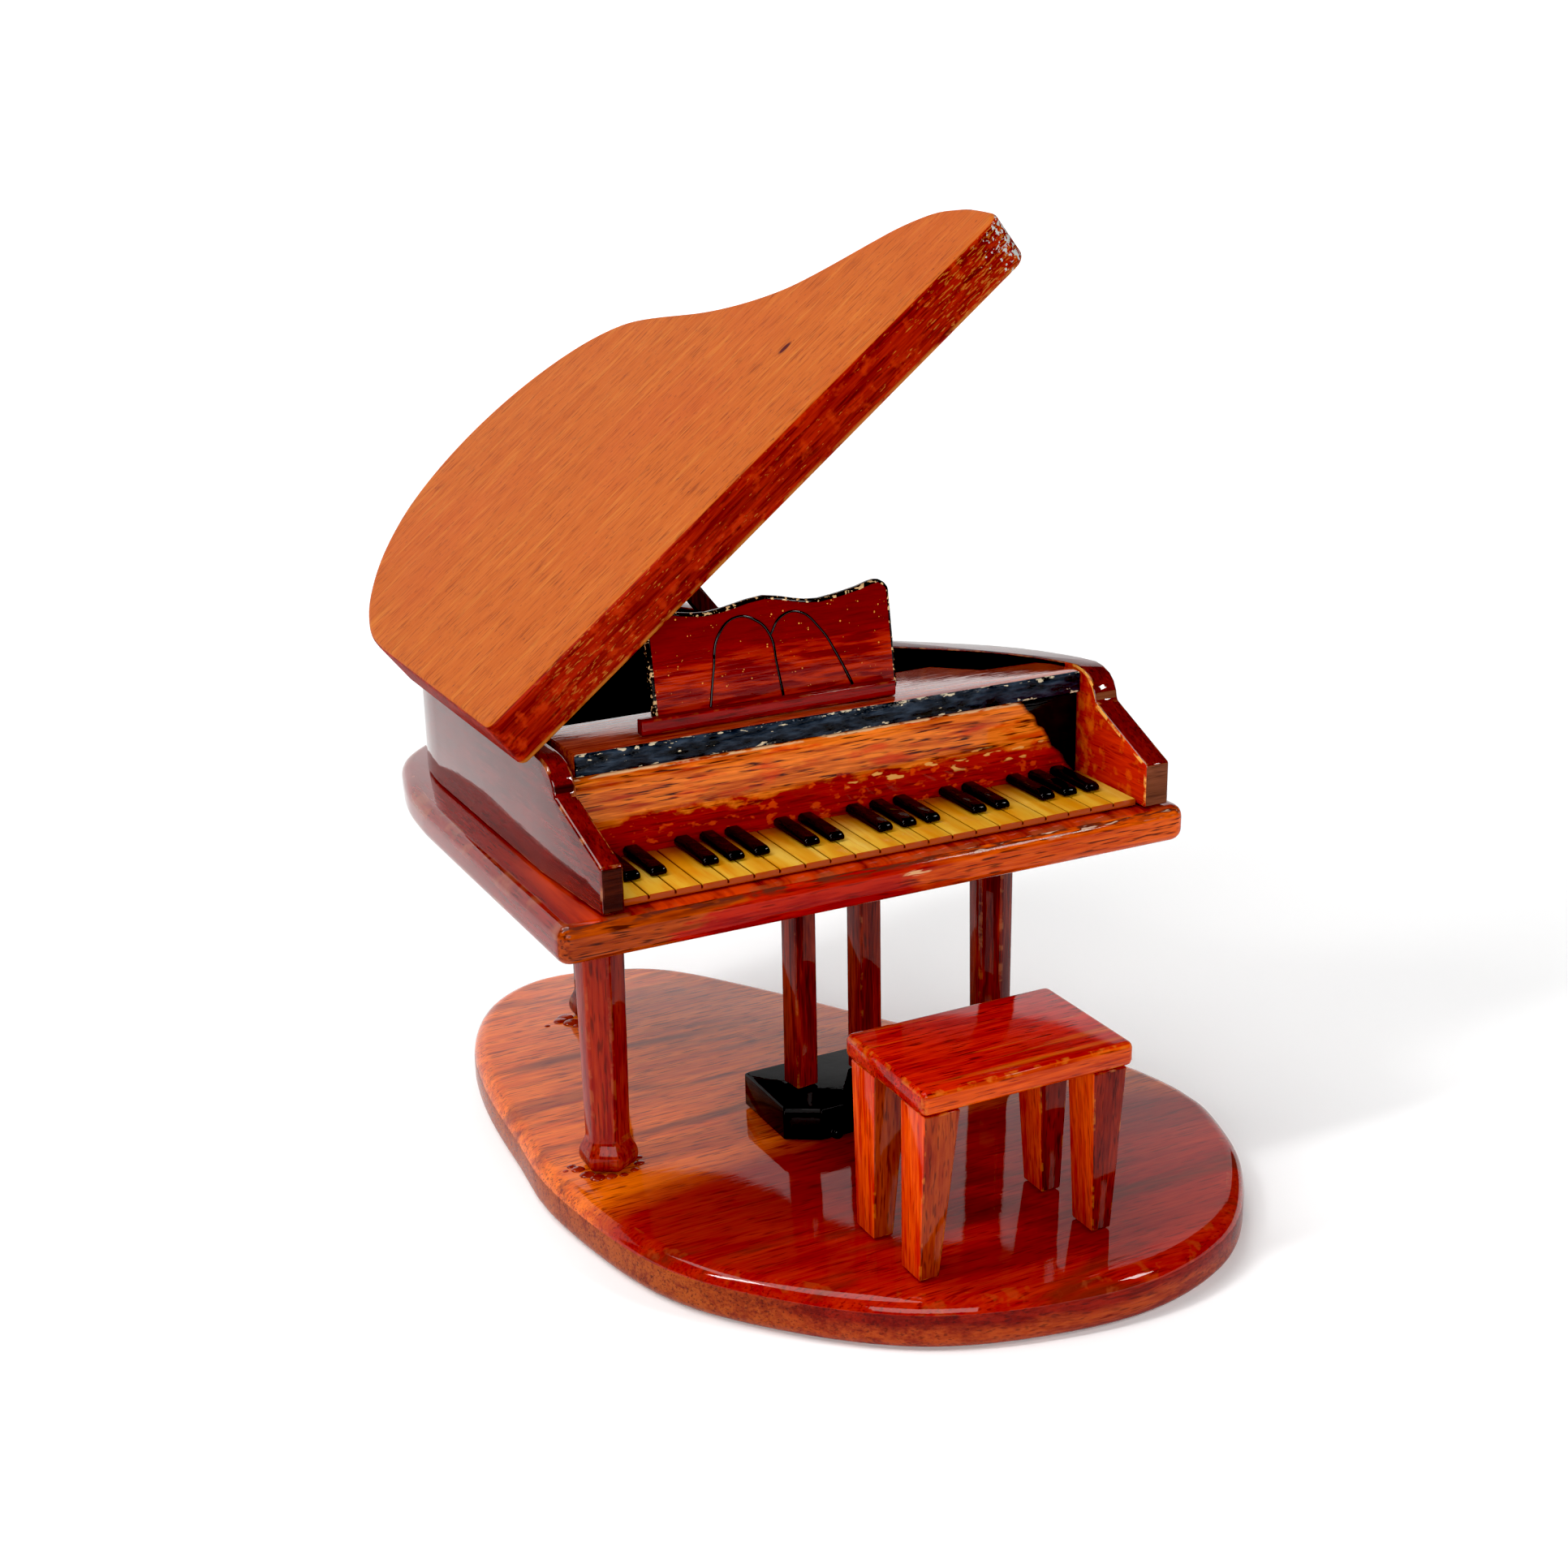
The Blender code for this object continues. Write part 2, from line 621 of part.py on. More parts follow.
def make_bench():
    """A seat board on four legs that taper towards the floor."""
    outline = rounded_rectangle(SEAT_LEFT, SEAT_FRONT, SEAT_RIGHT, SEAT_BACK, SEAT_CORNER)
    finish("bench_seat", plate(outline, SEAT_BOTTOM, SEAT_TOP, SEAT_ROUND), WOOD_RED)
    left, right = SEAT_LEFT + LEG_INSET, SEAT_RIGHT - LEG_INSET
    front, back = SEAT_FRONT + LEG_INSET, SEAT_BACK - LEG_INSET
    corners = [
        ("front_left", left, 1, front, 1, LEG_FRONT_LEAN),
        ("front_right", right, -1, front, 1, LEG_FRONT_LEAN),
        ("back_left", left, 1, back, -1, LEG_BACK_LEAN),
        ("back_right", right, -1, back, -1, LEG_BACK_LEAN),
    ]
    for name, x, side_x, y, side_y, lean in corners:
        rings = []
        for z, shift_x, shift_y, (wide, deep) in (
                (BASE_TOP + GAP, LEG_SIDE_LEAN, lean, LEG_FOOT),
                (SEAT_BOTTOM - GAP, 0.0, 0.0, LEG_HEAD)):
            x0 = x + side_x * shift_x
            y0 = y + side_y * shift_y
            x1 = x0 + side_x * wide
            y1 = y0 + side_y * deep
            rings.append([(x0, y0, z), (x1, y0, z), (x1, y1, z), (x0, y1, z)])
        finish(f"bench_leg_{name}", loft(rings), WOOD_ORANGE)


def build():
    clear_scene()
    make_base_plate()
    make_legs()
    make_key_bed()
    make_case_rim()
    make_soundboard()
    make_white_keys()
    make_black_keys()
    make_fallboard()
    make_music_shelf()
    make_music_desk()
    make_lid()
    make_hinges()
    make_prop()
    make_lyre()
    make_bench()


build()
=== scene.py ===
"""Looks for a miniature lacquered wooden grand piano with its bench on a base plate.

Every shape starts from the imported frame. Lengths are in metres; MM turns millimetres into metres.
"""

import json
import math
import random

import bmesh
import bpy
from mathutils import Matrix, Vector


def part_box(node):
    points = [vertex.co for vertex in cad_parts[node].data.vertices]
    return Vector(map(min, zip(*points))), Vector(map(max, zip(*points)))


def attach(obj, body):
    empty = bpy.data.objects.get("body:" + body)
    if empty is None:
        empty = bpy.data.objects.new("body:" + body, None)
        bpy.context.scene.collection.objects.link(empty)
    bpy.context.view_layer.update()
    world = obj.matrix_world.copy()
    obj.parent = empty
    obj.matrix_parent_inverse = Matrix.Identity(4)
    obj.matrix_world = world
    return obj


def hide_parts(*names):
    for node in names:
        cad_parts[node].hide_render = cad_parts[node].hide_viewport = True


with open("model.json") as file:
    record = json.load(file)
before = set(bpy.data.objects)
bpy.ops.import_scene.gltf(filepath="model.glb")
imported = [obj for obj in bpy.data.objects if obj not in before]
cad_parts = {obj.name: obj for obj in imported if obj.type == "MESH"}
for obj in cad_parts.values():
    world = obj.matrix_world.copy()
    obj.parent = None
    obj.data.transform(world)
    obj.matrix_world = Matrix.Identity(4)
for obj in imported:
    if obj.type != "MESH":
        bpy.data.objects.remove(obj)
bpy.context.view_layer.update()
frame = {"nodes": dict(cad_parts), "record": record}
random.seed(7)

MM = 0.001
NODES = frame["nodes"]
BODY = {node: body for body, nodes in frame["record"]["behaviour"]["bodies"].items() for node in nodes}
LAID_FLAT = Matrix.Identity(4)

# A point that every inner face of the case wall looks towards
CASE_MIDDLE = Vector((-0.02, 0.02, 0.08))

# The cheeks lie in front of CHEEK_BACK, and the inside of the case behind it
CHEEK_BACK = -16.0 * MM
RIGHT_CHEEK = 30.0 * MM

# Mesh making
SAME_POINT = 0.002 * MM
SAME_PLANE = math.radians(0.4)
ROUND_STEPS = 6
OUTLINE_STEPS = 3
LONG_SIDE = 14 * MM
SHARP_CORNER = math.radians(40)
FLAT_NORMAL = 0.999

# Lid
LID_TOP_ROUND = 0.9 * MM
LID_LOW_ROUND = 1.2 * MM
LEAF_ROOM = 0.3 * MM

# Music desk arches
DESK_LEAN = math.radians(10.0)
INK_RADIUS = 0.26 * MM
INK_LIFT = 0.35 * MM
INK_SWELL = (0.75, 1.15)

# Lacquer drips
DRIP_WAVE = 0.22
DRIP_STRETCH = 1.25
DRIP_FLATNESS = 0.42
DRIP_SINK = 0.1 * MM

# Backdrop, in metres, and the light that its paper and the world give
FLOOR_REACH = 1.6
FLOOR_HALF_WIDTH = 2.5
BACKDROP_RISE = 1.6
BACKDROP_BEND = 0.5
BACKDROP_STEPS = 12
GLOW_FROM, GLOW_TO = 0.2, 0.9
GLOW_NEAR, GLOW_FAR = 0.1, 0.75
WORLD_AIM = (0.45, 0.88, 0.1)
WORLD_FROM, WORLD_TO = -0.5, 0.3
WORLD_DIM, WORLD_LIT = 0.0076, 0.0459
WORLD_SEEN = 0.95
BLACK_LEVEL = (0.007, 0.007, 0.007)

# Camera, in degrees and metres
CAMERA_PLACE = Vector((-0.16754, -0.33253, 0.1954))
CAMERA_AZIMUTH = -26.4531
CAMERA_ELEVATION = 18.7348
CAMERA_ROLL = -1.1244
CAMERA_LENS = 52.48
CAMERA_SHIFT = (-0.0045, -0.0011)


# Meshes taken from the frame

def clean_mesh(node, place=LAID_FLAT):
    """A node's solid as a bmesh of whole flat faces, in the coordinates of place."""
    bm = bmesh.new()
    bm.from_mesh(NODES[node].data)
    bmesh.ops.transform(bm, matrix=place.inverted() @ NODES[node].matrix_world, verts=bm.verts)
    bmesh.ops.remove_doubles(bm, verts=bm.verts, dist=SAME_POINT)
    bmesh.ops.dissolve_limit(bm, angle_limit=SAME_PLANE, verts=bm.verts, edges=bm.edges)
    bmesh.ops.recalc_face_normals(bm, faces=bm.faces)
    return bm


def plate_frame(node):
    """Axes of a tilted board: Z along the normal of its largest upward or backward face."""
    bm = clean_mesh(node)
    face = max(bm.faces, key=lambda f: f.calc_area())
    up = face.normal.copy()
    centre = face.calc_center_median()
    bm.free()
    if up.z + 0.2 * up.y < 0:
        up.negate()
    if abs(up.y) > abs(up.x):
        across = Vector((1.0, 0.0, 0.0))
        along = up.cross(across)
    else:
        along = Vector((0.0, 1.0, 0.0))
        across = along.cross(up)
    turn = Matrix((across, along, up)).transposed().to_4x4()
    return Matrix.Translation(centre) @ turn


def make_piece(name, bm, node, look, place=LAID_FLAT, smooth=40.0):
    """A finished mesh that stands for a CAD node, takes the look, rides on its body and hides the node."""
    mesh = bpy.data.meshes.new(name)
    bm.to_mesh(mesh)
    bm.free()
    mesh.shade_smooth()
    mesh.set_sharp_from_angle(angle=math.radians(smooth))
    piece = bpy.data.objects.new(name, mesh)
    bpy.context.scene.collection.objects.link(piece)
    piece.matrix_world = place
    mesh.materials.append(look)
    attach(piece, BODY[node])
    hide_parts(node)
    return piece


def layers(bm):
    """The face values that materials read: edge on rounded-over strips, side on upright faces."""
    edge = bm.faces.layers.float.get("edge") or bm.faces.layers.float.new("edge")
    side = bm.faces.layers.float.get("side") or bm.faces.layers.float.new("side")
    return edge, side


def soften(bm, width, segments=3, sharp=25.0):
    """Round over every sharp edge, and mark the new strips."""
    edge, side = layers(bm)
    for face in bm.faces:
        face[side] = 1.0 - abs(face.normal.z)
    chosen = [e for e in bm.edges if len(e.link_faces) == 2 and e.calc_face_angle(0.0) > math.radians(sharp)]
    made = bmesh.ops.bevel(bm, geom=chosen, offset=width, segments=segments, profile=0.5,
                           affect="EDGES", clamp_overlap=True, loop_slide=True)
    for face in made["faces"]:
        face[edge] = 1.0


def refined(node, look, width=0.35, segments=3, place=LAID_FLAT, sharp=25.0):
    """A node's solid with softened edges, as a new piece."""
    bm = clean_mesh(node, place)
    soften(bm, width * MM, segments, sharp)
    return make_piece(node + "_finish", bm, node, look, place)


def outline_of(node, place, steps):
    """A board's outline at half its thickness, smoothed where it curves but never past its own box."""
    bm = clean_mesh(node, place)
    heights = [v.co.z for v in bm.verts]
    low, high = min(heights), max(heights)
    geom = bm.verts[:] + bm.edges[:] + bm.faces[:]
    cut = bmesh.ops.bisect_plane(bm, geom=geom, plane_co=(0, 0, (low + high) / 2), plane_no=(0, 0, 1))
    edges = [e for e in cut["geom_cut"] if isinstance(e, bmesh.types.BMEdge)]
    links = {}
    for e in edges:
        for v in e.verts:
            links.setdefault(v, []).append(e.other_vert(v))
    start = max(links, key=lambda v: v.co.x)
    loop = [start]
    before = None
    while True:
        choices = [v for v in links[loop[-1]] if v is not before]
        before = loop[-1]
        if choices[0] is start or len(loop) > len(links):
            break
        loop.append(choices[0])
    points = [Vector((v.co.x, v.co.y)) for v in loop]
    bm.free()
    area = sum(a.x * b.y - a.y * b.x for a, b in zip(points, points[1:] + points[:1]))
    if area < 0:
        points.reverse()
    left, right = min(p.x for p in points), max(p.x for p in points)
    front, back = min(p.y for p in points), max(p.y for p in points)
    smooth = [Vector((min(max(p.x, left), right), min(max(p.y, front), back)))
              for p in resample(points, steps)]
    return smooth, low, high


def resample(points, steps):
    """Curved stretches become finer, and a long straight side keeps its two ends."""
    count = len(points)
    result = []
    for i in range(count):
        a, b, c, d = (points[(i + k) % count] for k in (-1, 0, 1, 2))
        turn_in = (b - a).angle(c - b)
        turn_out = (c - b).angle(d - c)
        long_side = (c - b).length > LONG_SIDE
        sharp = max(turn_in, turn_out) > SHARP_CORNER
        for s in range(1 if long_side or sharp else steps):
            t = s / steps
            span = (c - b).length
            start = (c - a).normalized() * span if (b - a).length < LONG_SIDE else (c - b)
            stop = (d - b).normalized() * span if (d - c).length < LONG_SIDE else (c - b)
            result.append((2 * t ** 3 - 3 * t ** 2 + 1) * b + (t ** 3 - 2 * t ** 2 + t) * start
                          + (3 * t ** 2 - 2 * t ** 3) * c + (t ** 3 - t ** 2) * stop)
    return result


def inset(points, depth):
    result = []
    count = len(points)
    for i, point in enumerate(points):
        before = (point - points[i - 1]).normalized()
        after = (points[(i + 1) % count] - point).normalized()
        normal = Vector((-before.y - after.y, before.x + after.x)).normalized()
        result.append(point + normal * depth / max(0.5, normal.dot(Vector((-after.y, after.x)))))
    return result


def board(points, low, high, top_round, low_round):
    """A slab with round top and bottom rims."""
    bm = bmesh.new()
    edge, side = layers(bm)
    levels = []
    for i in range(ROUND_STEPS + 1):
        angle = math.radians(90.0 * i / ROUND_STEPS)
        levels.append((low + low_round * (1 - math.sin(angle)), low_round * (1 - math.cos(angle)), 1))
    levels.reverse()
    levels.append((high - top_round, 0.0, 0))
    for i in range(1, ROUND_STEPS + 1):
        angle = math.radians(90.0 * i / ROUND_STEPS)
        levels.append((high - top_round * (1 - math.sin(angle)), top_round * (1 - math.cos(angle)), 1))
    rings = []
    for z, depth, _ in levels:
        rings.append([bm.verts.new((p.x, p.y, z)) for p in inset(points, depth)])
    count = len(points)
    for k, (one, two) in enumerate(zip(rings, rings[1:])):
        for i in range(count):
            j = (i + 1) % count
            face = bm.faces.new((one[i], one[j], two[j], two[i]))
            face[edge] = float(levels[k + 1][2])
            face[side] = 1.0
    bm.faces.new(list(reversed(rings[0])))
    bm.faces.new(rings[-1])
    bm.normal_update()
    return bm


# Materials

class Paint:
    """A Principled material with short names for the nodes that the looks use."""

    def __init__(self, name, roughness=0.4, coat=1.0, coat_roughness=0.05, metallic=0.0, coat_ior=1.3,
                 specular=0.0):
        self.material = bpy.data.materials.new(name)
        self.material.use_nodes = True
        self.tree = self.material.node_tree
        self.shader = self.tree.nodes["Principled BSDF"]
        self.shader.inputs["Roughness"].default_value = roughness
        self.shader.inputs["Coat Weight"].default_value = coat
        self.shader.inputs["Coat Roughness"].default_value = coat_roughness
        self.shader.inputs["Coat IOR"].default_value = coat_ior
        self.shader.inputs["Metallic"].default_value = metallic
        self.shader.inputs["Specular IOR Level"].default_value = specular
        source = self.node("ShaderNodeTexCoord")
        self.coordinates = source.outputs["Object"]
        self.normal = source.outputs["Normal"]

    def node(self, kind):
        return self.tree.nodes.new(kind)

    def link(self, value, socket):
        if isinstance(value, bpy.types.NodeSocket):
            self.tree.links.new(value, socket)
        elif isinstance(value, tuple):
            socket.default_value = (*value, 1.0) if len(socket.default_value) == 4 else value
        else:
            socket.default_value = value

    def stretched(self, scale, offset=(0.0, 0.0, 0.0), turn=(0.0, 0.0, 0.0)):
        mapping = self.node("ShaderNodeMapping")
        self.link(self.coordinates, mapping.inputs["Vector"])
        mapping.inputs["Scale"].default_value = scale
        mapping.inputs["Location"].default_value = offset
        mapping.inputs["Rotation"].default_value = turn
        return mapping.outputs["Vector"]

    def noise(self, vector, scale=1.0, detail=4.0, rough=0.55, bend=0.0):
        noise = self.node("ShaderNodeTexNoise")
        self.link(vector, noise.inputs["Vector"])
        noise.inputs["Scale"].default_value = scale
        noise.inputs["Detail"].default_value = detail
        noise.inputs["Roughness"].default_value = rough
        noise.inputs["Distortion"].default_value = bend
        return noise.outputs["Fac"]

    def spots(self, vector, scale):
        cells = self.node("ShaderNodeTexVoronoi")
        self.link(vector, cells.inputs["Vector"])
        cells.inputs["Scale"].default_value = scale
        return cells.outputs["Distance"]

    def ramp(self, value, stops):
        ramp = self.node("ShaderNodeValToRGB")
        elements = ramp.color_ramp.elements
        while len(elements) < len(stops):
            elements.new(0.5)
        for element, (place, colour) in zip(elements, stops):
            element.position = place
            shade = colour if isinstance(colour, tuple) else (colour, colour, colour)
            element.color = (*shade, 1.0)
        self.link(value, ramp.inputs["Fac"])
        return ramp.outputs["Color"]

    def step(self, value, low, high):
        rule = self.node("ShaderNodeMapRange")
        self.link(value, rule.inputs["Value"])
        rule.inputs["From Min"].default_value = low
        rule.inputs["From Max"].default_value = high
        return rule.outputs["Result"]

    def math(self, operation, one, two=0.0):
        rule = self.node("ShaderNodeMath")
        rule.operation = operation
        self.link(one, rule.inputs[0])
        self.link(two, rule.inputs[1])
        return rule.outputs[0]

    def mix(self, share, one, two):
        rule = self.node("ShaderNodeMix")
        rule.data_type = "RGBA"
        self.link(share, rule.inputs["Factor"])
        self.link(one, rule.inputs["A"])
        self.link(two, rule.inputs["B"])
        return rule.outputs["Result"]

    def face_value(self, name):
        attribute = self.node("ShaderNodeAttribute")
        attribute.attribute_name = name
        return attribute.outputs["Fac"]

    def axis(self, name):
        parts = self.node("ShaderNodeSeparateXYZ")
        self.link(self.coordinates, parts.inputs[0])
        return parts.outputs[name]

    def near(self, centre, radii):
        """0 at the centre of an ellipsoid and 1 on it."""
        scale = tuple(1.0 / r for r in radii)
        offset = tuple(-c / r for c, r in zip(centre, radii))
        length = self.node("ShaderNodeVectorMath")
        length.operation = "LENGTH"
        self.link(self.stretched(scale, offset), length.inputs[0])
        return length.outputs["Value"]

    def facing(self, name):
        parts = self.node("ShaderNodeSeparateXYZ")
        self.link(self.normal, parts.inputs[0])
        return parts.outputs[name]

    def colour(self, value):
        self.link(value, self.shader.inputs["Base Color"])

    def roughness(self, value):
        self.link(value, self.shader.inputs["Roughness"])

    def bump(self, height, distance, coat=True):
        bump = self.node("ShaderNodeBump")
        bump.inputs["Distance"].default_value = distance
        bump.inputs["Strength"].default_value = 1.0
        self.link(height, bump.inputs["Height"])
        self.link(bump.outputs["Normal"], self.shader.inputs["Normal"])
        if coat:
            self.link(bump.outputs["Normal"], self.shader.inputs["Coat Normal"])


ALONG = {"X": (1.0, 12.0, 12.0), "Y": (12.0, 1.0, 12.0), "Z": (12.0, 12.0, 1.0)}


def grain_field(paint, along, pitch, slender=1.0, offset=(0.0, 0.0, 0.0), detail=3.0, bend=0.3):
    """Noise in long streaks; pitch is how many lie side by side in a metre."""
    scale = tuple(pitch if s > 1.0 else pitch / (14.0 * slender) for s in ALONG[along])
    return paint.noise(paint.stretched(scale, offset), 1.0, detail, 0.6, bend)


def wood(paint, deep, warm, dark, along="X", balance=0.5, spread=0.10, pores=0.6, coarse=330.0):
    """Grain: broad bands between a deep and a warm tone, fine streaks, and short dark pores."""
    bands = grain_field(paint, along, coarse, 0.8, bend=0.8)
    streaks = grain_field(paint, along, 1900.0, 1.2, (1.0, 2.0, 3.0), 2.0)
    tone = paint.math("ADD", paint.math("MULTIPLY", bands, 0.55), paint.math("MULTIPLY", streaks, 0.45))
    colour = paint.mix(paint.step(tone, balance - spread, balance + spread), deep, warm)
    pore = grain_field(paint, along, 2600.0, 0.9, (3.0, 5.0, 7.0), 1.0, 0.0)
    colour = paint.mix(paint.math("MULTIPLY", paint.step(pore, 0.56, 0.68), pores), colour, dark)
    return colour, streaks


def lacquer_waves(paint, grain, depth=0.02, wave=0.10):
    """The lacquer sinks a little into the grain and lies in low waves."""
    waves = paint.noise(paint.stretched((1.0, 1.0, 1.0)), 90.0, 2.0)
    height = paint.math("ADD", paint.math("MULTIPLY", grain, depth), paint.math("MULTIPLY", waves, wave))
    paint.bump(height, 1.0 * MM)


def worn_edge(paint, colour, tint, low=0.5, high=0.62, scale=400.0, share=1.0):
    """Uneven lines of another tint along the softened edges."""
    marks = paint.step(paint.noise(paint.stretched((1.0, 1.0, 1.0), (2.0, 1.0, 4.0)), scale, 3.0), low, high)
    marks = paint.math("MULTIPLY", marks, share)
    return paint.mix(paint.math("MULTIPLY", marks, paint.face_value("edge")), colour, tint)


def both(paint, one, two):
    return paint.math("MULTIPLY", one, two)


def lid_look(corner):
    """Orange wood with red sides; corner is where the long side meets the front, in the lid's own axes."""
    def lid_spot(u, v):
        return corner.x + u * MM, corner.y + v * MM, 0.0

    paint = Paint("lid_wood", 0.45, 0.2, 0.25)
    colour, grain = wood(paint, (0.37, 0.070, 0.009), (0.49, 0.120, 0.019), (0.14, 0.024, 0.008), "X",
                         spread=0.22, pores=0.6)
    cloud = paint.noise(paint.stretched((1.0, 1.0, 1.0)), 26.0, 3.0)
    colour = paint.mix(both(paint, paint.step(cloud, 0.5, 0.7), 0.4), colour, (0.42, 0.065, 0.014))
    specks = paint.step(grain_field(paint, "X", 3200.0, 0.35, (5.0, 5.0, 5.0), 1.0, 0.0), 0.66, 0.72)
    colour = paint.mix(both(paint, specks, 0.75), colour, (0.09, 0.018, 0.012))
    amber = paint.step(grain_field(paint, "X", 700.0, 0.6, (2.0, 9.0, 4.0), 3.0), 0.54, 0.70)
    colour = paint.mix(both(paint, amber, 0.4), colour, (0.56, 0.19, 0.03))
    knot = paint.near(lid_spot(79.0, 22.0), (1.5 * MM, 0.7 * MM, 9.0 * MM))
    colour = paint.mix(paint.step(knot, 1.2, 0.7), colour, (0.07, 0.008, 0.008))
    red, _ = wood(paint, (0.13, 0.002, 0.001), (0.32, 0.012, 0.003), (0.05, 0.002, 0.001), "X", coarse=600.0)
    blush = paint.noise(paint.stretched((380.0, 520.0, 520.0), (7.0, 1.0, 3.0)), 1.0, 4.0)
    red = paint.mix(both(paint, paint.step(blush, 0.54, 0.68), 0.6), red, (0.46, 0.030, 0.005))
    flecks = grain_field(paint, "X", 2900.0, 0.35, (9.0, 1.0, 5.0), 2.0)
    place = paint.axis("X")
    ends = paint.math("MAXIMUM", paint.step(place, lid_spot(42.0, 0.0)[0], lid_spot(8.0, 0.0)[0]),
                      paint.step(place, lid_spot(84.0, 0.0)[0], lid_spot(106.0, 0.0)[0]))
    bar = paint.math("SUBTRACT", 0.66, both(paint, ends, 0.12))
    share = both(paint, paint.step(paint.math("SUBTRACT", flecks, bar), 0.0, 0.05),
                 paint.step(place, lid_spot(8.0, 0.0)[0], lid_spot(16.0, 0.0)[0]))
    red = paint.mix(both(paint, share, 0.7), red, (0.44, 0.13, 0.02))
    under = paint.step(paint.facing("Z"), -0.10, -0.35)
    red = worn_edge(paint, red, (0.46, 0.16, 0.025), 0.40, 0.52, 260.0, both(paint, under, 0.7))
    # Pale grey spots round the far corner of the lid: a painted highlight.
    glint_noise = paint.noise(paint.stretched((1500.0, 1500.0, 1500.0), (4.0, 4.0, 1.0)), 1.0, 4.0)
    low = paint.math("SUBTRACT", 0.74, both(paint, paint.step(place, lid_spot(104.0, 0.0)[0],
                                                              lid_spot(112.0, 0.0)[0]), 0.22))
    tip_highlight = both(paint, paint.step(paint.math("SUBTRACT", glint_noise, low), 0.0, 0.03),
               paint.step(paint.near(lid_spot(112.0, 1.0), (10.0 * MM, 6.0 * MM, 12.0 * MM)), 1.0, 0.8))
    red = paint.mix(tip_highlight, red, (0.46, 0.48, 0.46))
    front = both(paint, paint.step(paint.facing("Z"), 0.70, 0.60),
                 paint.step(paint.face_value("side"), 0.4, 0.6))
    paint.colour(paint.mix(front, colour, red))
    lacquer_waves(paint, grain, 0.05, 0.04)
    return paint


def base_top_look():
    """Deep red under a mirror coat, with warmer wood to the left and at the back; the deep red at the front
    is partly a painted reflection of the piano's dark underside.
    """
    paint = Paint("base_top_wood", 0.38, 1.0, 0.02, coat_ior=1.32)
    colour, grain = wood(paint, (0.26, 0.003, 0.002), (0.42, 0.020, 0.004), (0.12, 0.004, 0.002), "X",
                         0.53, 0.16, 0.7)
    tan, _ = wood(paint, (0.50, 0.048, 0.005), (0.82, 0.165, 0.010), (0.16, 0.018, 0.005), "X",
                  0.47, 0.14, 0.8)
    # Inside this patch at the front the top stays deep red: red wood with a painted reflection of the
    # piano's dark underside.
    front = paint.near((-2.0 * MM, -52.0 * MM, 8.0 * MM), (80.0 * MM, 37.0 * MM, 60.0 * MM))
    colour = paint.mix(paint.step(front, 0.92, 1.12), colour, tan)
    smoke = grain_field(paint, "X", 150.0, 0.5, (2.0, 2.0, 2.0), 3.0, 0.6)
    colour = paint.mix(both(paint, paint.step(smoke, 0.54, 0.68), 0.75), colour, (0.12, 0.014, 0.007))
    paint.colour(worn_edge(paint, colour, (0.40, 0.08, 0.02), 0.56, 0.62, 240.0, 0.25))
    lacquer_waves(paint, grain, 0.008, 0.05)
    return paint


def base_rim_look():
    paint = Paint("base_rim_wood", 0.40, 0.6, 0.05)
    orange, grain = wood(paint, (0.18, 0.016, 0.003), (0.36, 0.065, 0.008), (0.07, 0.01, 0.003), "X", 0.46,
                         pores=0.8)
    red, _ = wood(paint, (0.11, 0.002, 0.001), (0.24, 0.008, 0.002), (0.04, 0.002, 0.001), "X")
    brown, _ = wood(paint, (0.20, 0.012, 0.003), (0.38, 0.05, 0.008), (0.06, 0.006, 0.002), "X")
    wander = paint.math("SUBTRACT", paint.noise(paint.stretched((90.0, 90.0, 90.0)), 1.0, 3.0), 0.5)
    height = paint.math("ADD", paint.axis("Z"), both(paint, wander, 4.0 * MM))
    red = paint.mix(paint.step(height, 5.2 * MM, 3.6 * MM), red, brown)
    # Orange at the left end and red to the right: the orange is a painted reflection.
    place = paint.math("ADD", paint.axis("X"), both(paint, wander, 12.0 * MM))
    colour = paint.mix(paint.step(place, -44.0 * MM, -28.0 * MM), orange, red)
    paint.colour(colour)
    lacquer_waves(paint, grain, 0.012, 0.05)
    return paint


def bed_top_look():
    paint = Paint("key_bed_top_wood", 0.38, 1.0, 0.03, coat_ior=1.5)
    colour, grain = wood(paint, (0.13, 0.002, 0.001), (0.24, 0.008, 0.003), (0.05, 0.003, 0.001), "Y",
                         spread=0.2)
    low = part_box("case_rim")[0]
    foot = both(paint, paint.step(paint.axis("X"), low.x - 3.5 * MM, low.x - 0.5 * MM),
                paint.step(paint.axis("Y"), 5.0 * MM, -20.0 * MM))
    glow = grain_field(paint, "Y", 300.0, 0.6, (3.0, 1.0, 1.0))
    colour = paint.mix(both(paint, foot, paint.step(glow, 0.40, 0.60)), colour, (0.50, 0.035, 0.005))
    paint.colour(worn_edge(paint, colour, (0.26, 0.06, 0.02), 0.48, 0.60, 160.0, 0.6))
    lacquer_waves(paint, grain, 0.008, 0.05)
    return paint


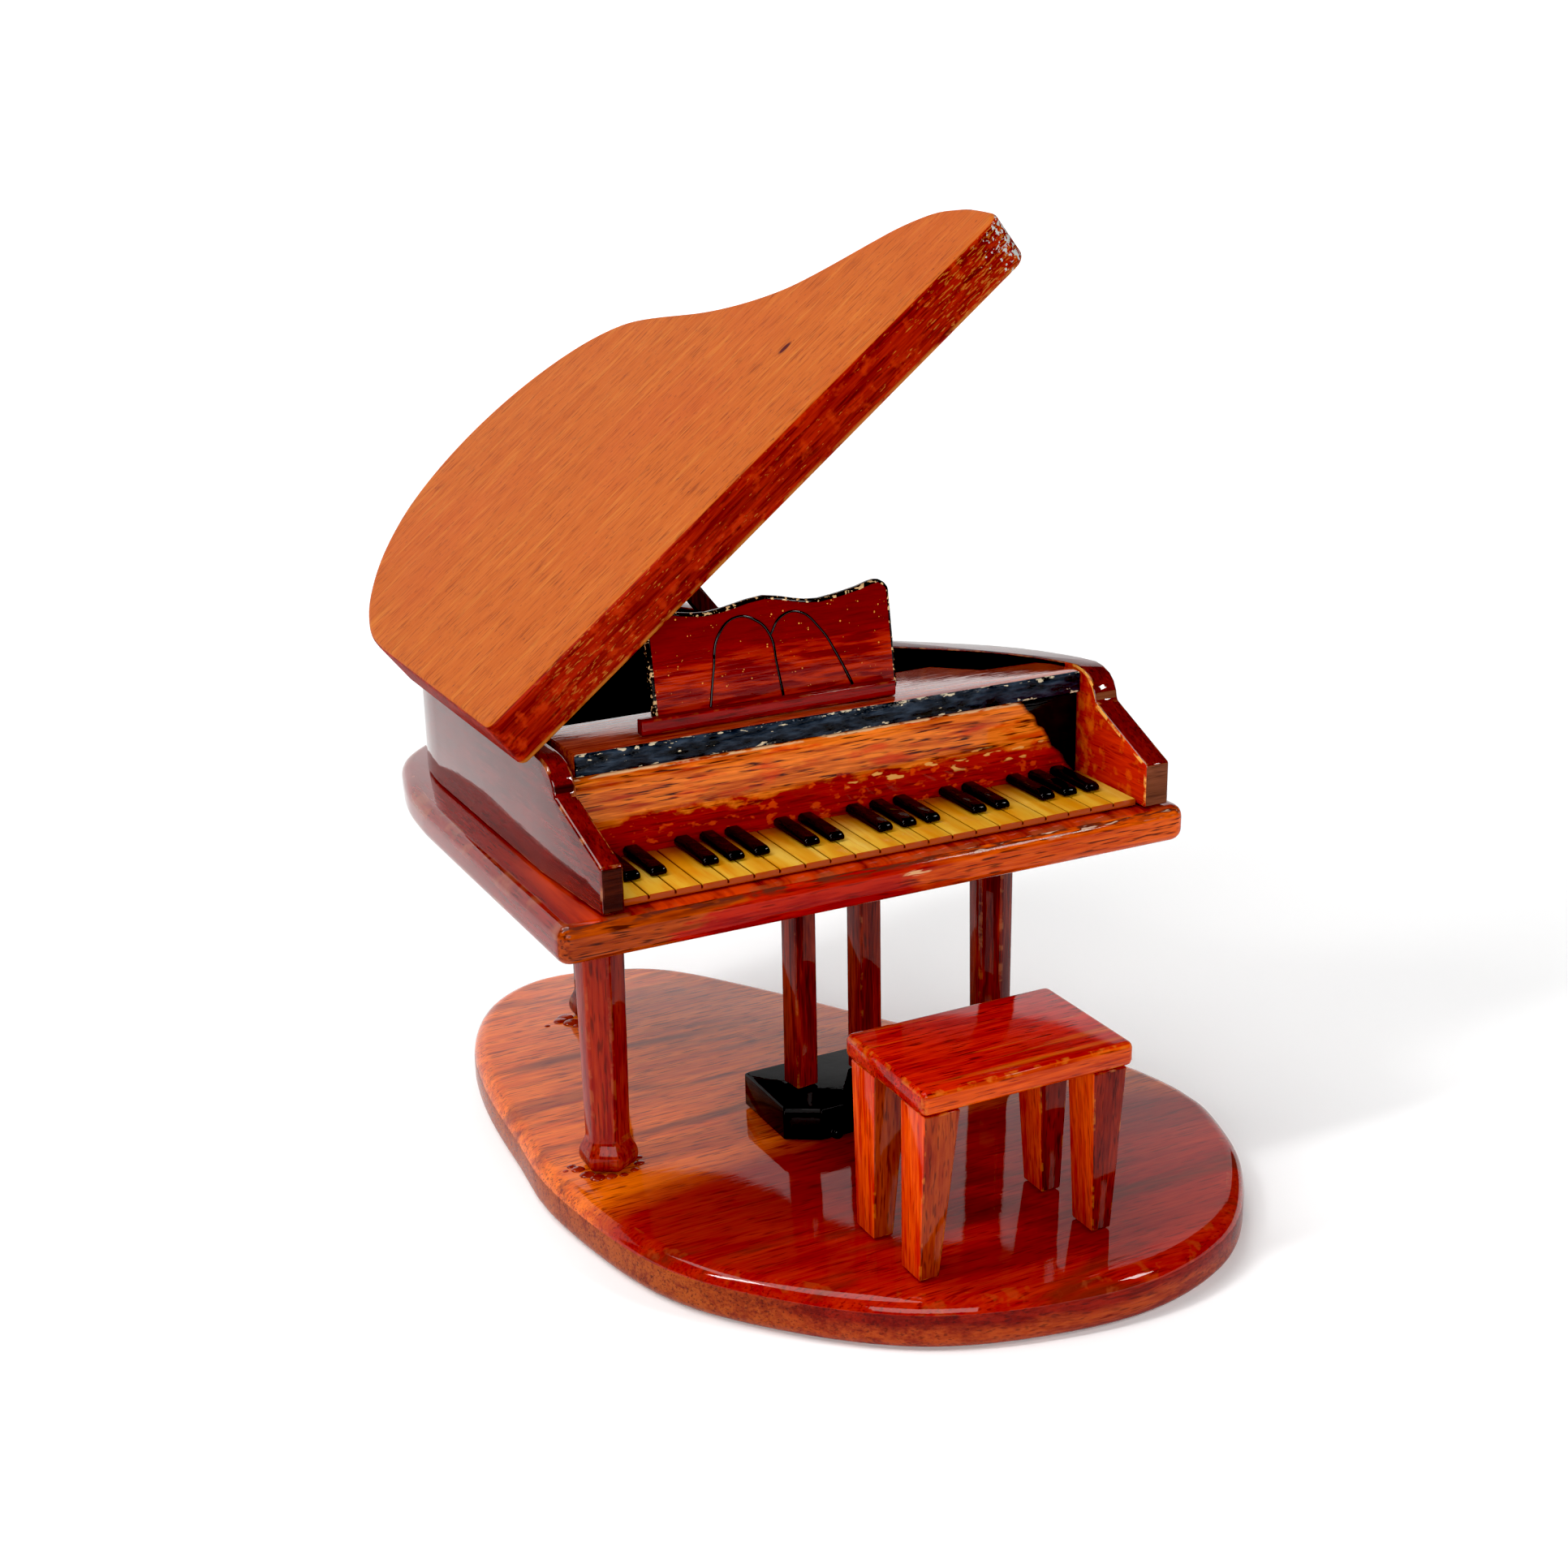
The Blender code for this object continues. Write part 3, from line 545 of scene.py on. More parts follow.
def bed_front_look():
    """Brown grain at the left end, red in the middle and orange to the right, with a chipped upper lip."""
    paint = Paint("key_bed_front_wood", 0.40, 0.6, 0.06)
    colour, grain = wood(paint, (0.22, 0.002, 0.002), (0.40, 0.014, 0.004), (0.08, 0.003, 0.001), "X")
    orange, _ = wood(paint, (0.36, 0.022, 0.003), (0.70, 0.105, 0.008), (0.07, 0.010, 0.003), "X",
                     0.48, 0.12, 0.9)
    brown, _ = wood(paint, (0.14, 0.010, 0.002), (0.38, 0.055, 0.006), (0.03, 0.005, 0.002), "X",
                    0.48, 0.12, 0.9)
    low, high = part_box("key_bed")
    wander = paint.math("SUBTRACT", paint.noise(paint.stretched((60.0, 200.0, 260.0)), 2.0, 3.0), 0.5)
    place = paint.math("ADD", paint.axis("X"), both(paint, wander, 35.0 * MM))
    depth = paint.math("SUBTRACT", high.z, paint.axis("Z"))
    right = paint.step(place, -4.0 * MM, 8.0 * MM)
    left = paint.step(paint.math("ADD", place, both(paint, depth, 2.2)), -29.0 * MM, -33.0 * MM)
    colour = paint.mix(right, colour, orange)
    colour = paint.mix(left, colour, brown)
    lip = paint.step(depth, 1.5 * MM, 0.6 * MM)
    marks = grain_field(paint, "X", 1500.0, 0.5, (4.0, 8.0, 1.0), 2.0)
    colour = paint.mix(both(paint, lip, paint.step(marks, 0.42, 0.54)), colour, (0.10, 0.018, 0.010))
    chipped = both(paint, both(paint, lip, right), paint.step(marks, 0.60, 0.65))
    colour = paint.mix(chipped, colour, (0.55, 0.34, 0.24))
    scratch = paint.near((-0.5 * MM, low.y, 66.0 * MM), (2.8 * MM, 2.0 * MM, 0.8 * MM))
    scratch = both(paint, paint.step(scratch, 1.0, 0.7), paint.step(marks, 0.52, 0.58))
    colour = paint.mix(scratch, colour, (0.66, 0.34, 0.16))
    paint.colour(colour)
    lacquer_waves(paint, grain, 0.012, 0.05)
    return paint


def dark_red_look(name, deep, warm, along, ior=1.3, share=1.0, coat=0.7):
    """Dark glossy wood, worn to orange along its edges."""
    paint = Paint(name, 0.38, coat, 0.03, coat_ior=ior)
    colour, grain = wood(paint, deep, warm, (0.02, 0.002, 0.001), along)
    paint.colour(worn_edge(paint, colour, (0.50, 0.16, 0.05), share=share))
    lacquer_waves(paint, grain, 0.008, 0.05)
    return paint


def cheek_front_look():
    """End grain of the cheeks: near black on the left one, brown on the right one."""
    paint = Paint("cheek_end_wood", 0.40, 0.3, 0.08)
    tone, grain = wood(paint, (0.02, 0.003, 0.002), (0.05, 0.007, 0.003), (0.01, 0.002, 0.001), "X")
    brown, _ = wood(paint, (0.11, 0.030, 0.012), (0.18, 0.050, 0.022), (0.05, 0.012, 0.006), "X")
    colour = paint.mix(paint.step(paint.axis("X"), -0.01, 0.01), tone, brown)
    paint.colour(worn_edge(paint, colour, (0.10, 0.02, 0.012), share=0.6))
    lacquer_waves(paint, grain, 0.01, 0.04)
    return paint


def cheek_inside_look():
    """Bright red with orange patches, as on the inner face of the right cheek."""
    paint = Paint("cheek_inner_wood", 0.40, 0.4, 0.08)
    colour, grain = wood(paint, (0.34, 0.006, 0.003), (0.58, 0.030, 0.005), (0.16, 0.004, 0.002), "Y",
                         spread=0.16)
    patch = paint.noise(paint.stretched((300.0, 420.0, 420.0), (2.0, 6.0, 1.0)), 1.0, 4.0)
    back = paint.step(paint.axis("Y"), -27.0 * MM, -22.0 * MM)
    patch = paint.math("ADD", patch, both(paint, back, 0.10))
    colour = paint.mix(both(paint, paint.step(patch, 0.56, 0.72), 0.7), colour, (0.72, 0.12, 0.010))
    paint.colour(worn_edge(paint, colour, (0.80, 0.36, 0.07), 0.44, 0.54, 420.0))
    lacquer_waves(paint, grain, 0.02, 0.05)
    return paint


def fallboard_look():
    paint = Paint("fallboard_wood", 0.38, 0.7, 0.05)
    colour, grain = wood(paint, (0.34, 0.028, 0.004), (0.86, 0.20, 0.020), (0.06, 0.010, 0.004), "X",
                         0.49, 0.10, 1.0, 480.0)
    ember = paint.noise(paint.stretched((110.0, 110.0, 420.0), (1.0, 1.0, 6.0)), 1.0, 4.0)
    colour = paint.mix(both(paint, paint.step(ember, 0.55, 0.66), 0.7), colour, (0.66, 0.04, 0.005))
    # The red band along the bottom of the fallboard, with its brighter red patches, is a painted reflection
    # of the keys in front of it.
    red, _ = wood(paint, (0.28, 0.003, 0.002), (0.48, 0.016, 0.005), (0.10, 0.003, 0.002), "X")
    spark = paint.noise(paint.stretched((420.0, 420.0, 700.0), (3.0, 1.0, 6.0)), 1.0, 2.0)
    red = paint.mix(both(paint, paint.step(spark, 0.58, 0.66), 0.8), red, (0.78, 0.07, 0.01))
    low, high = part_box("fallboard")
    wander = paint.math("SUBTRACT", paint.noise(paint.stretched((160.0, 160.0, 300.0)), 1.0, 4.0), 0.5)
    height = paint.math("ADD", paint.axis("Z"), both(paint, wander, 7.0 * MM))
    colour = paint.mix(paint.step(height, low.z + 7.4 * MM, low.z + 6.6 * MM), colour, red)
    # Pale dabs at the top of the red band: a painted reflection of the keys' edges.
    key_edge_reflection = paint.near((20.0 * MM, low.y, low.z + 6.4 * MM), (28.0 * MM, 6.0 * MM, 1.8 * MM))
    strokes = paint.noise(paint.stretched((260.0, 200.0, 900.0), (0.0, 0.0, 0.0), (0.0, 0.6, 0.0)), 1.0, 2.0)
    key_edge_reflection = both(paint, paint.step(key_edge_reflection, 1.0, 0.7), paint.step(strokes, 0.60, 0.64))
    colour = paint.mix(key_edge_reflection, colour, (0.85, 0.38, 0.10))
    # below and slant shape a black wedge at the right end: a painted shadow of the right cheek.
    below = paint.math("SUBTRACT", high.z, paint.axis("Z"))
    slant = paint.math("ADD", paint.axis("X"), both(paint, below, -0.75))
    slant = paint.math("ADD", slant, both(paint, wander, 3.0 * MM))
    line = paint.noise(paint.stretched((200.0, 200.0, 900.0), (2.0, 2.0, 2.0)), 1.0, 3.0)
    line = both(paint, paint.step(paint.axis("Z"), high.z - 0.6 * MM, high.z - 0.3 * MM),
                paint.step(line, 0.46, 0.52))
    colour = paint.mix(line, colour, (0.80, 0.50, 0.26))
    # Painted shadow of the right cheek, in near black.
    cheek_shadow = paint.step(slant, high.x - 12.0 * MM, high.x - 11.0 * MM)
    paint.colour(paint.mix(cheek_shadow, colour, (0.004, 0.003, 0.003)))
    lacquer_waves(paint, grain, 0.02, 0.05)
    return paint


def shelf_top_look():
    paint = Paint("shelf_top_lacquer", 0.3, 1.0, 0.05, coat_ior=1.55)
    colour, grain = wood(paint, (0.30, 0.020, 0.010), (0.64, 0.10, 0.03), (0.08, 0.006, 0.004), "X")
    paint.colour(colour)
    lacquer_waves(paint, grain, 0.03, 0.12)
    return paint


def shelf_front_look():
    """Blue-black and rough, with chipped gilt along its upper and lower edges."""
    paint = Paint("shelf_front_lacquer", 0.3, 0.7, 0.08, coat_ior=1.3)
    blot = paint.noise(paint.stretched((260.0, 700.0, 900.0)), 1.0, 4.0)
    colour = paint.ramp(blot, [(0.35, (0.001, 0.001, 0.001)), (0.5, (0.008, 0.012, 0.020)),
                               (0.7, (0.03, 0.045, 0.07))])
    low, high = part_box("music_shelf")
    middle = (low.z + high.z) / 2
    height = paint.math("ABSOLUTE", paint.math("SUBTRACT", paint.axis("Z"), middle))
    border = paint.step(height, (high.z - low.z) * 0.28, (high.z - low.z) * 0.42)
    gilt = paint.noise(paint.stretched((500.0, 1500.0, 1500.0), (1.0, 4.0, 2.0)), 1.0, 3.0)
    bar = paint.math("SUBTRACT", 0.70, both(paint, border, 0.13))
    colour = paint.mix(paint.step(paint.math("SUBTRACT", gilt, bar), 0.0, 0.02), colour, (0.60, 0.50, 0.34))
    paint.colour(colour)
    paint.bump(blot, 0.5 * MM)
    return paint


def desk_look():
    """Deep red with gold dust, redder at the foot, and a black rim with gilt beads."""
    paint = Paint("desk_lacquer", 0.35, 0.6, 0.05)
    colour, grain = wood(paint, (0.13, 0.001, 0.001), (0.23, 0.004, 0.003), (0.07, 0.001, 0.001), "X",
                         spread=0.25, pores=0.3, coarse=900.0)
    low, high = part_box("music_desk")
    half = (high.z - low.z) / 2
    height = both(paint, paint.axis("Y"), -1.0)
    foot = paint.step(height, -half * 0.45, -half * 0.85)
    head = both(paint, paint.step(height, half * 0.45, half * 0.75),
                paint.step(paint.axis("X"), 3.0 * MM, 9.0 * MM))
    streak = paint.step(grain_field(paint, "X", 900.0, 0.6, (4.0, 2.0, 1.0), 3.0), 0.44, 0.60)
    band = both(paint, paint.math("MAXIMUM", foot, head), streak)
    colour = paint.mix(both(paint, band, 0.7), colour, (0.55, 0.030, 0.004))
    specks = paint.step(paint.spots(paint.stretched((1.0, 1.0, 1.0)), 1700.0), 0.30, 0.18)
    some = paint.step(paint.noise(paint.stretched((1.0, 1.0, 1.0), (5.0, 3.0, 1.0)), 900.0, 2.0), 0.62, 0.66)
    colour = paint.mix(both(paint, specks, some), colour, (0.75, 0.30, 0.06))
    rim = paint.math("MAXIMUM", paint.face_value("edge"), paint.step(paint.face_value("side"), 0.4, 0.6))
    colour = paint.mix(rim, colour, (0.006, 0.004, 0.004))
    chips = paint.noise(paint.stretched((1.0, 1.0, 1.0), (1.0, 7.0, 2.0)), 1300.0, 1.0)
    chips = paint.step(chips, 0.57, 0.62)
    colour = paint.mix(both(paint, chips, rim), colour, (0.70, 0.46, 0.22))
    paint.colour(colour)
    lacquer_waves(paint, grain, 0.04, 0.10)
    return paint


def ivory_look():
    paint = Paint("ivory_lacquer", 0.35, 0.5, 0.1)
    tint = paint.noise(paint.stretched((230.0, 30.0, 40.0)), 1.0, 2.0)
    colour = paint.ramp(tint, [(0.34, (0.56, 0.22, 0.010)), (0.5, (0.62, 0.33, 0.028)),
                               (0.66, (0.70, 0.46, 0.075))])
    streak = grain_field(paint, "Y", 1800.0, 0.8, (2.0, 2.0, 2.0), 2.0)
    colour = paint.mix(both(paint, paint.step(streak, 0.52, 0.72), 0.5), colour, (0.56, 0.17, 0.012))
    low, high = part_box("white_keys")
    # Darker towards the back, where the tops lie among the black keys: painted shade.
    back = paint.step(paint.axis("Y"), low.y + 7.5 * MM, high.y - 2.0 * MM)
    colour = paint.mix(both(paint, back, 0.85), colour, (0.20, 0.022, 0.004))
    groove = paint.step(paint.axis("Z"), high.z - 0.10 * MM, high.z - 0.30 * MM)
    colour = paint.mix(groove, colour, (0.09, 0.008, 0.003))
    front = paint.step(paint.axis("Y"), low.y + 0.25 * MM, low.y + 0.1 * MM)
    colour = paint.mix(front, colour, (0.34, 0.05, 0.008))
    paint.colour(colour)
    paint.bump(paint.noise(paint.stretched((300.0, 60.0, 300.0)), 2.0, 2.0), 0.05 * MM)
    return paint


def black_look(name, roughness=0.25, ior=1.45, coat=0.8):
    paint = Paint(name, roughness, coat, 0.04, coat_ior=ior)
    shade = paint.noise(paint.stretched((1.0, 1.0, 1.0)), 160.0, 4.0)
    paint.colour(paint.ramp(shade, [(0.35, (0.001, 0.001, 0.001)), (0.7, (0.005, 0.002, 0.002))]))
    paint.bump(paint.noise(paint.stretched((1.0, 1.0, 1.0)), 220.0, 3.0), 0.06 * MM)
    return paint


def bench_look(name, along):
    """Red with orange stripes; the fronts are orange on the seat and brown on the legs."""
    paint = Paint(name, 0.38, 0.7, 0.04)
    colour, grain = wood(paint, (0.28, 0.004, 0.002), (0.50, 0.016, 0.004), (0.07, 0.002, 0.001), along,
                         pores=0.9)
    if along == "X":
        stripes = grain_field(paint, along, 340.0, 1.6, (6.0, 1.0, 3.0), 4.0, 0.4)
        colour = paint.mix(both(paint, paint.step(stripes, 0.58, 0.70), 0.6), colour, (0.54, 0.12, 0.012))
        colour = paint.mix(both(paint, paint.step(stripes, 0.40, 0.34), 0.6), colour, (0.16, 0.004, 0.002))
        face, _ = wood(paint, (0.36, 0.020, 0.003), (0.66, 0.08, 0.006), (0.12, 0.010, 0.003), along,
                       0.48, pores=0.8)
    else:
        bright, _ = wood(paint, (0.50, 0.015, 0.003), (0.76, 0.085, 0.008), (0.25, 0.010, 0.003), along)
        colour = paint.mix(paint.step(paint.facing("X"), -0.6, -0.8), colour, bright)
        face, _ = wood(paint, (0.19, 0.010, 0.003), (0.38, 0.055, 0.008), (0.05, 0.005, 0.003), along,
                       0.5, 0.16, 0.7)
        shade, _ = wood(paint, (0.08, 0.002, 0.002), (0.24, 0.014, 0.004), (0.02, 0.001, 0.001), along,
                        0.52, 0.14, 0.7)
        face = paint.mix(paint.step(paint.axis("X"), 8.0 * MM, 14.0 * MM), face, shade)
    colour = paint.mix(paint.step(paint.facing("Y"), -0.6, -0.8), colour, face)
    paint.colour(worn_edge(paint, colour, (0.60, 0.16, 0.02), 0.52, 0.62, 420.0, 0.45))
    lacquer_waves(paint, grain, 0.015, 0.06)
    return paint


def metal_look(name, colour, dark):
    paint = Paint(name, 0.32, 0.0, 0.1, metallic=1.0, specular=0.5)
    shade = paint.noise(paint.stretched((1.0, 1.0, 1.0)), 900.0, 4.0)
    paint.colour(paint.mix(shade, dark, colour))
    paint.roughness(paint.step(shade, -0.4, 1.8))
    paint.bump(shade, 0.02 * MM, coat=False)
    return paint


def drip_look():
    paint = Paint("lacquer_drips", 0.2, 1.0, 0.03, coat_ior=1.4)
    shade = paint.noise(paint.stretched((1.0, 1.0, 1.0)), 400.0, 3.0)
    paint.colour(paint.ramp(shade, [(0.3, (0.12, 0.003, 0.001)), (0.7, (0.40, 0.030, 0.004))]))
    return paint


# Pieces

def give_look(piece, look, test):
    """Paint the faces whose normal and centre pass a test with a second look."""
    piece.data.materials.append(look.material)
    for face in piece.data.polygons:
        if test(face.normal, face.center):
            face.material_index = len(piece.data.materials) - 1


def make_boards():
    for node, look, front_look, top, low, test in (
            ("base_plate", base_top_look(), base_rim_look(), 3.0, 2.6, lambda n, c: n.z < 0.30),
            ("key_bed", bed_top_look(), bed_front_look(), 2.1, 2.1, lambda n, c: n.y < -0.35 and n.z < 0.9)):
        points, bottom, height = outline_of(node, LAID_FLAT, OUTLINE_STEPS)
        bm = board(points, bottom, height, top * MM, low * MM)
        piece = make_piece(node + "_finish", bm, node, look.material, smooth=60.0)
        give_look(piece, front_look, test)


def make_lid():
    place = plate_frame("lid")
    points, bottom, height = outline_of("lid", place, OUTLINE_STEPS)
    corner = Vector((min(p.x for p in points), min(p.y for p in points)))
    bm = board(points, bottom, height, LID_TOP_ROUND, LID_LOW_ROUND)
    lid = make_piece("lid_finish", bm, "lid", lid_look(corner).material, place, smooth=60.0)
    for leaf in ("hinge_front_lid_leaf", "hinge_back_lid_leaf"):
        solid = clean_mesh(leaf, place)
        low = Vector([min(v.co[i] for v in solid.verts) - LEAF_ROOM for i in range(3)])
        high = Vector([max(v.co[i] for v in solid.verts) + LEAF_ROOM for i in range(3)])
        solid.free()
        cut_box(lid, low, high, place)
    for face in lid.data.polygons:
        face.use_smooth = abs(face.normal.z) < FLAT_NORMAL


def cut_box(piece, low, high, place):
    """Take a box, given in the axes of place, out of a piece."""
    bm = bmesh.new()
    bmesh.ops.create_cube(bm, size=1.0)
    size = Matrix.Diagonal((*(high - low), 1.0))
    bmesh.ops.transform(bm, matrix=Matrix.Translation((low + high) / 2) @ size, verts=bm.verts)
    mesh = bpy.data.meshes.new("cutter")
    bm.to_mesh(mesh)
    bm.free()
    tool = bpy.data.objects.new("cutter", mesh)
    bpy.context.scene.collection.objects.link(tool)
    tool.matrix_world = place
    cut = piece.modifiers.new("mortise", "BOOLEAN")
    cut.operation = "DIFFERENCE"
    cut.solver = "EXACT"
    cut.object = tool
    bpy.context.view_layer.update()
    shape = bpy.data.meshes.new_from_object(piece.evaluated_get(bpy.context.evaluated_depsgraph_get()))
    piece.modifiers.clear()
    piece.data = shape
    bpy.data.objects.remove(tool, do_unlink=True)


def make_case():
    case = dark_red_look("case_wood", (0.08, 0.002, 0.001), (0.17, 0.006, 0.002), "Y", ior=1.5,
                         share=0.5, coat=1.0)
    rim = refined("case_rim", case.material, 0.45, 3)
    give_look(rim, cheek_front_look(), lambda n, c: n.y < -0.9 and abs(n.x) < 0.3)
    give_look(rim, cheek_inside_look(), lambda n, c: (
        n.x < -0.6 and c.x > RIGHT_CHEEK and c.y < CHEEK_BACK))
    give_look(rim, black_look("case_inside", 0.5, 1.3, 0.5), lambda n, c: (
        abs(n.z) < 0.5 and c.y > CHEEK_BACK and n.dot(CASE_MIDDLE - c) > 0.0))
    refined("fallboard", fallboard_look().material, 0.2, 2)
    shelf = refined("music_shelf", shelf_top_look().material, 0.25, 2, sharp=50.0)
    give_look(shelf, shelf_front_look(), lambda n, c: n.y < -0.3)
    refined("soundboard", black_look("soundboard_lacquer", 0.5).material, 0.2, 2)


def make_desk():
    desk = desk_look()
    refined("music_desk", desk.material, 0.65, 3, plate_frame("music_desk"))
    ledge = dark_red_look("ledge_lacquer", (0.14, 0.002, 0.002), (0.26, 0.005, 0.003), "X", share=0.2)
    refined("desk_ledge", ledge.material, 0.3, 3)
    make_arches()


def make_arches():
    """Two arches in black on the desk's front; points are across and up from the middle of its foot."""
    low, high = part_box("music_desk")
    ink = black_look("arch_ink")
    arches = {
        "left": [(-12.2, 1.4), (-11.0, 7.5), (-9.6, 12.9), (-6.4, 15.4), (-2.6, 14.4), (-0.5, 11.8),
                 (0.2, 7.0), (0.9, 1.2)],
        "right": [(-0.5, 11.8), (1.7, 14.5), (4.9, 14.9), (8.6, 11.6), (11.2, 7.0), (13.6, 1.6)],
    }
    middle = (low.x + high.x) / 2
    foot = Vector((middle, low.y, low.z + INK_LIFT))
    for side, points in arches.items():
        data = bpy.data.curves.new("arch_" + side, "CURVE")
        data.dimensions = "3D"
        data.bevel_depth = INK_RADIUS
        data.bevel_resolution = 2
        data.use_fill_caps = True
        line = data.splines.new("BEZIER")
        line.bezier_points.add(len(points) - 1)
        for knot, (across, up) in zip(line.bezier_points, points):
            knot.co = foot + Vector((across, up * math.sin(DESK_LEAN), up * math.cos(DESK_LEAN))) * MM
            knot.handle_left_type = knot.handle_right_type = "AUTO"
            knot.radius = random.uniform(*INK_SWELL)
        piece = bpy.data.objects.new("arch_" + side, data)
        bpy.context.scene.collection.objects.link(piece)
        data.materials.append(ink.material)
        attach(piece, BODY["music_desk"])


def make_keys():
    refined("white_keys", ivory_look().material, 0.1, 2)
    black = black_look("black_key_lacquer", 0.3, 1.3, 0.6)
    for node in sorted(NODES):
        if node.startswith("black_key_"):
            refined(node, black.material, 0.35, 3)


def make_stand():
    leg = dark_red_look("leg_wood", (0.20, 0.003, 0.002), (0.36, 0.025, 0.005), "Z", share=0.2)
    shaded = dark_red_look("shaded_leg_wood", (0.08, 0.001, 0.001), (0.28, 0.020, 0.003), "Z", share=0.3)
    refined("leg_front_left", leg.material, 0.5, 3, sharp=12.0)
    for node in ("leg_front_right", "leg_rear"):
        refined(node, shaded.material, 0.5, 3, sharp=12.0)
    for node in ("lyre_post_left", "lyre_post_right"):
        refined(node, shaded.material, 0.35, 3)
    black = black_look("pedal_lacquer", 0.3, 1.3, 0.6)
    refined("pedal_box", black.material, 0.3, 3)
    for node in ("pedal_left", "pedal_middle", "pedal_right"):
        refined(node, black.material, 0.2, 3)


def make_drips():
    """Drops of spilt lacquer at the feet of two legs: across and back from the leg, and radius, in mm."""
    look = drip_look()
    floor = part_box("base_plate")[1].z
    spots = {
        "leg_front_left": [(-5.6, 0.6, 0.9), (-6.2, 2.0, 0.6), (-4.8, -1.9, 1.1), (-3.6, -3.8, 1.2),
                           (-1.5, -4.6, 0.9), (0.6, -4.9, 0.6), (4.6, -2.4, 0.8), (5.2, -0.4, 0.6),
                           (3.0, -4.2, 0.7), (-7.6, 1.0, 0.4)],
        "leg_rear": [(-5.6, -1.4, 1.3), (-7.2, 0.2, 1.1), (-5.8, 1.4, 1.2), (-10.2, -0.6, 0.5),
                     (-5.0, -3.4, 0.8), (-5.1, -5.4, 0.6), (-5.0, -7.2, 0.5), (-4.9, -9.4, 0.45)],
    }
    for node, places in spots.items():
        low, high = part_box(node)
        bm = bmesh.new()
        for dx, dy, size in places:
            start = len(bm.verts)
            bmesh.ops.create_icosphere(bm, subdivisions=3, radius=size * MM)
            bm.verts.ensure_lookup_table()
            centre = Vector(((low.x + high.x) / 2 + dx * MM, (low.y + high.y) / 2 + dy * MM, floor))
            for v in bm.verts[start:]:
                swell = 1.0 + DRIP_WAVE * math.sin(900.0 * v.co.x + size) * math.cos(1100.0 * v.co.y + dx)
                v.co.x *= swell * DRIP_STRETCH
                v.co.y *= swell
                v.co.z = max(v.co.z * DRIP_FLATNESS, -DRIP_SINK)
                v.co += centre
        mesh = bpy.data.meshes.new("drips_" + node)
        bm.to_mesh(mesh)
        bm.free()
        mesh.shade_smooth()
        mesh.materials.append(look.material)
        piece = bpy.data.objects.new("drips_" + node, mesh)
        bpy.context.scene.collection.objects.link(piece)
        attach(piece, BODY[node])


def make_bench():
    refined("bench_seat", bench_look("seat_wood", "X").material, 0.3, 3)
    legs = bench_look("bench_leg_wood", "Z")
    for node in sorted(NODES):
        if node.startswith("bench_leg_"):
            refined(node, legs.material, 0.35, 3)


def make_fittings():
    brass = metal_look("hinge_brass", (0.62, 0.42, 0.14), (0.28, 0.16, 0.05))
    steel = metal_look("pin_steel", (0.55, 0.55, 0.55), (0.3, 0.3, 0.3))
    for node in sorted(NODES):
        if node.startswith("hinge_"):
            refined(node, brass.material, 0.06, 2, sharp=50.0)
    refined("prop_pin", steel.material, 0.1, 2, sharp=50.0)
    prop = dark_red_look("prop_wood", (0.03, 0.004, 0.003), (0.10, 0.010, 0.005), "Z")
    for node in ("lid_prop", "prop_block"):
        refined(node, prop.material, 0.25, 2)


# Stage

def make_stage():
    """A pale floor that sweeps up into a backdrop."""
    foot = FLOOR_REACH - BACKDROP_BEND
    profile = [(-FLOOR_REACH, 0.0), (foot, 0.0)]
    for i in range(1, BACKDROP_STEPS + 1):
        angle = math.radians(90.0 * i / BACKDROP_STEPS)
        profile.append((foot + BACKDROP_BEND * math.sin(angle), BACKDROP_BEND * (1 - math.cos(angle))))
    profile.append((FLOOR_REACH, BACKDROP_RISE))
    bm = bmesh.new()
    rows = [[bm.verts.new((x, y, z)) for y, z in profile] for x in (-FLOOR_HALF_WIDTH, FLOOR_HALF_WIDTH)]
    for i in range(len(profile) - 1):
        bm.faces.new((rows[0][i], rows[1][i], rows[1][i + 1], rows[0][i + 1]))
    mesh = bpy.data.meshes.new("sweep")
    bm.to_mesh(mesh)
    bm.free()
    mesh.shade_smooth()
    sweep = bpy.data.objects.new("sweep", mesh)
    bpy.context.scene.collection.objects.link(sweep)
    paper = bpy.data.materials.new("pale_paper")
    paper.use_nodes = True
    shader = paper.node_tree.nodes["Principled BSDF"]
    shader.inputs["Base Color"].default_value = (0.93, 0.93, 0.93, 1.0)
    shader.inputs["Roughness"].default_value = 0.9
    shader.inputs["Specular IOR Level"].default_value = 0.0
    shader.inputs["Emission Color"].default_value = (1.0, 1.0, 1.0, 1.0)
    tree = paper.node_tree
    distance = tree.nodes.new("ShaderNodeVectorMath")
    distance.operation = "LENGTH"
    tree.links.new(tree.nodes.new("ShaderNodeTexCoord").outputs["Object"], distance.inputs[0])
    glow = tree.nodes.new("ShaderNodeMapRange")
    glow.inputs["From Min"].default_value = GLOW_FROM
    glow.inputs["From Max"].default_value = GLOW_TO
    glow.inputs["To Min"].default_value = GLOW_NEAR
    glow.inputs["To Max"].default_value = GLOW_FAR
    tree.links.new(distance.outputs["Value"], glow.inputs["Value"])
    tree.links.new(glow.outputs["Result"], shader.inputs["Emission Strength"])
    mesh.materials.append(paper)


def softbox(name, place, target, size, power):
    light = bpy.data.lights.new(name, "AREA")
    light.shape = "RECTANGLE"
    light.size, light.size_y = size
    light.energy = power
    lamp = bpy.data.objects.new(name, light)
    bpy.context.scene.collection.objects.link(lamp)
    lamp.location = place
    lamp.rotation_euler = (Vector(target) - Vector(place)).to_track_quat("-Z", "Y").to_euler()


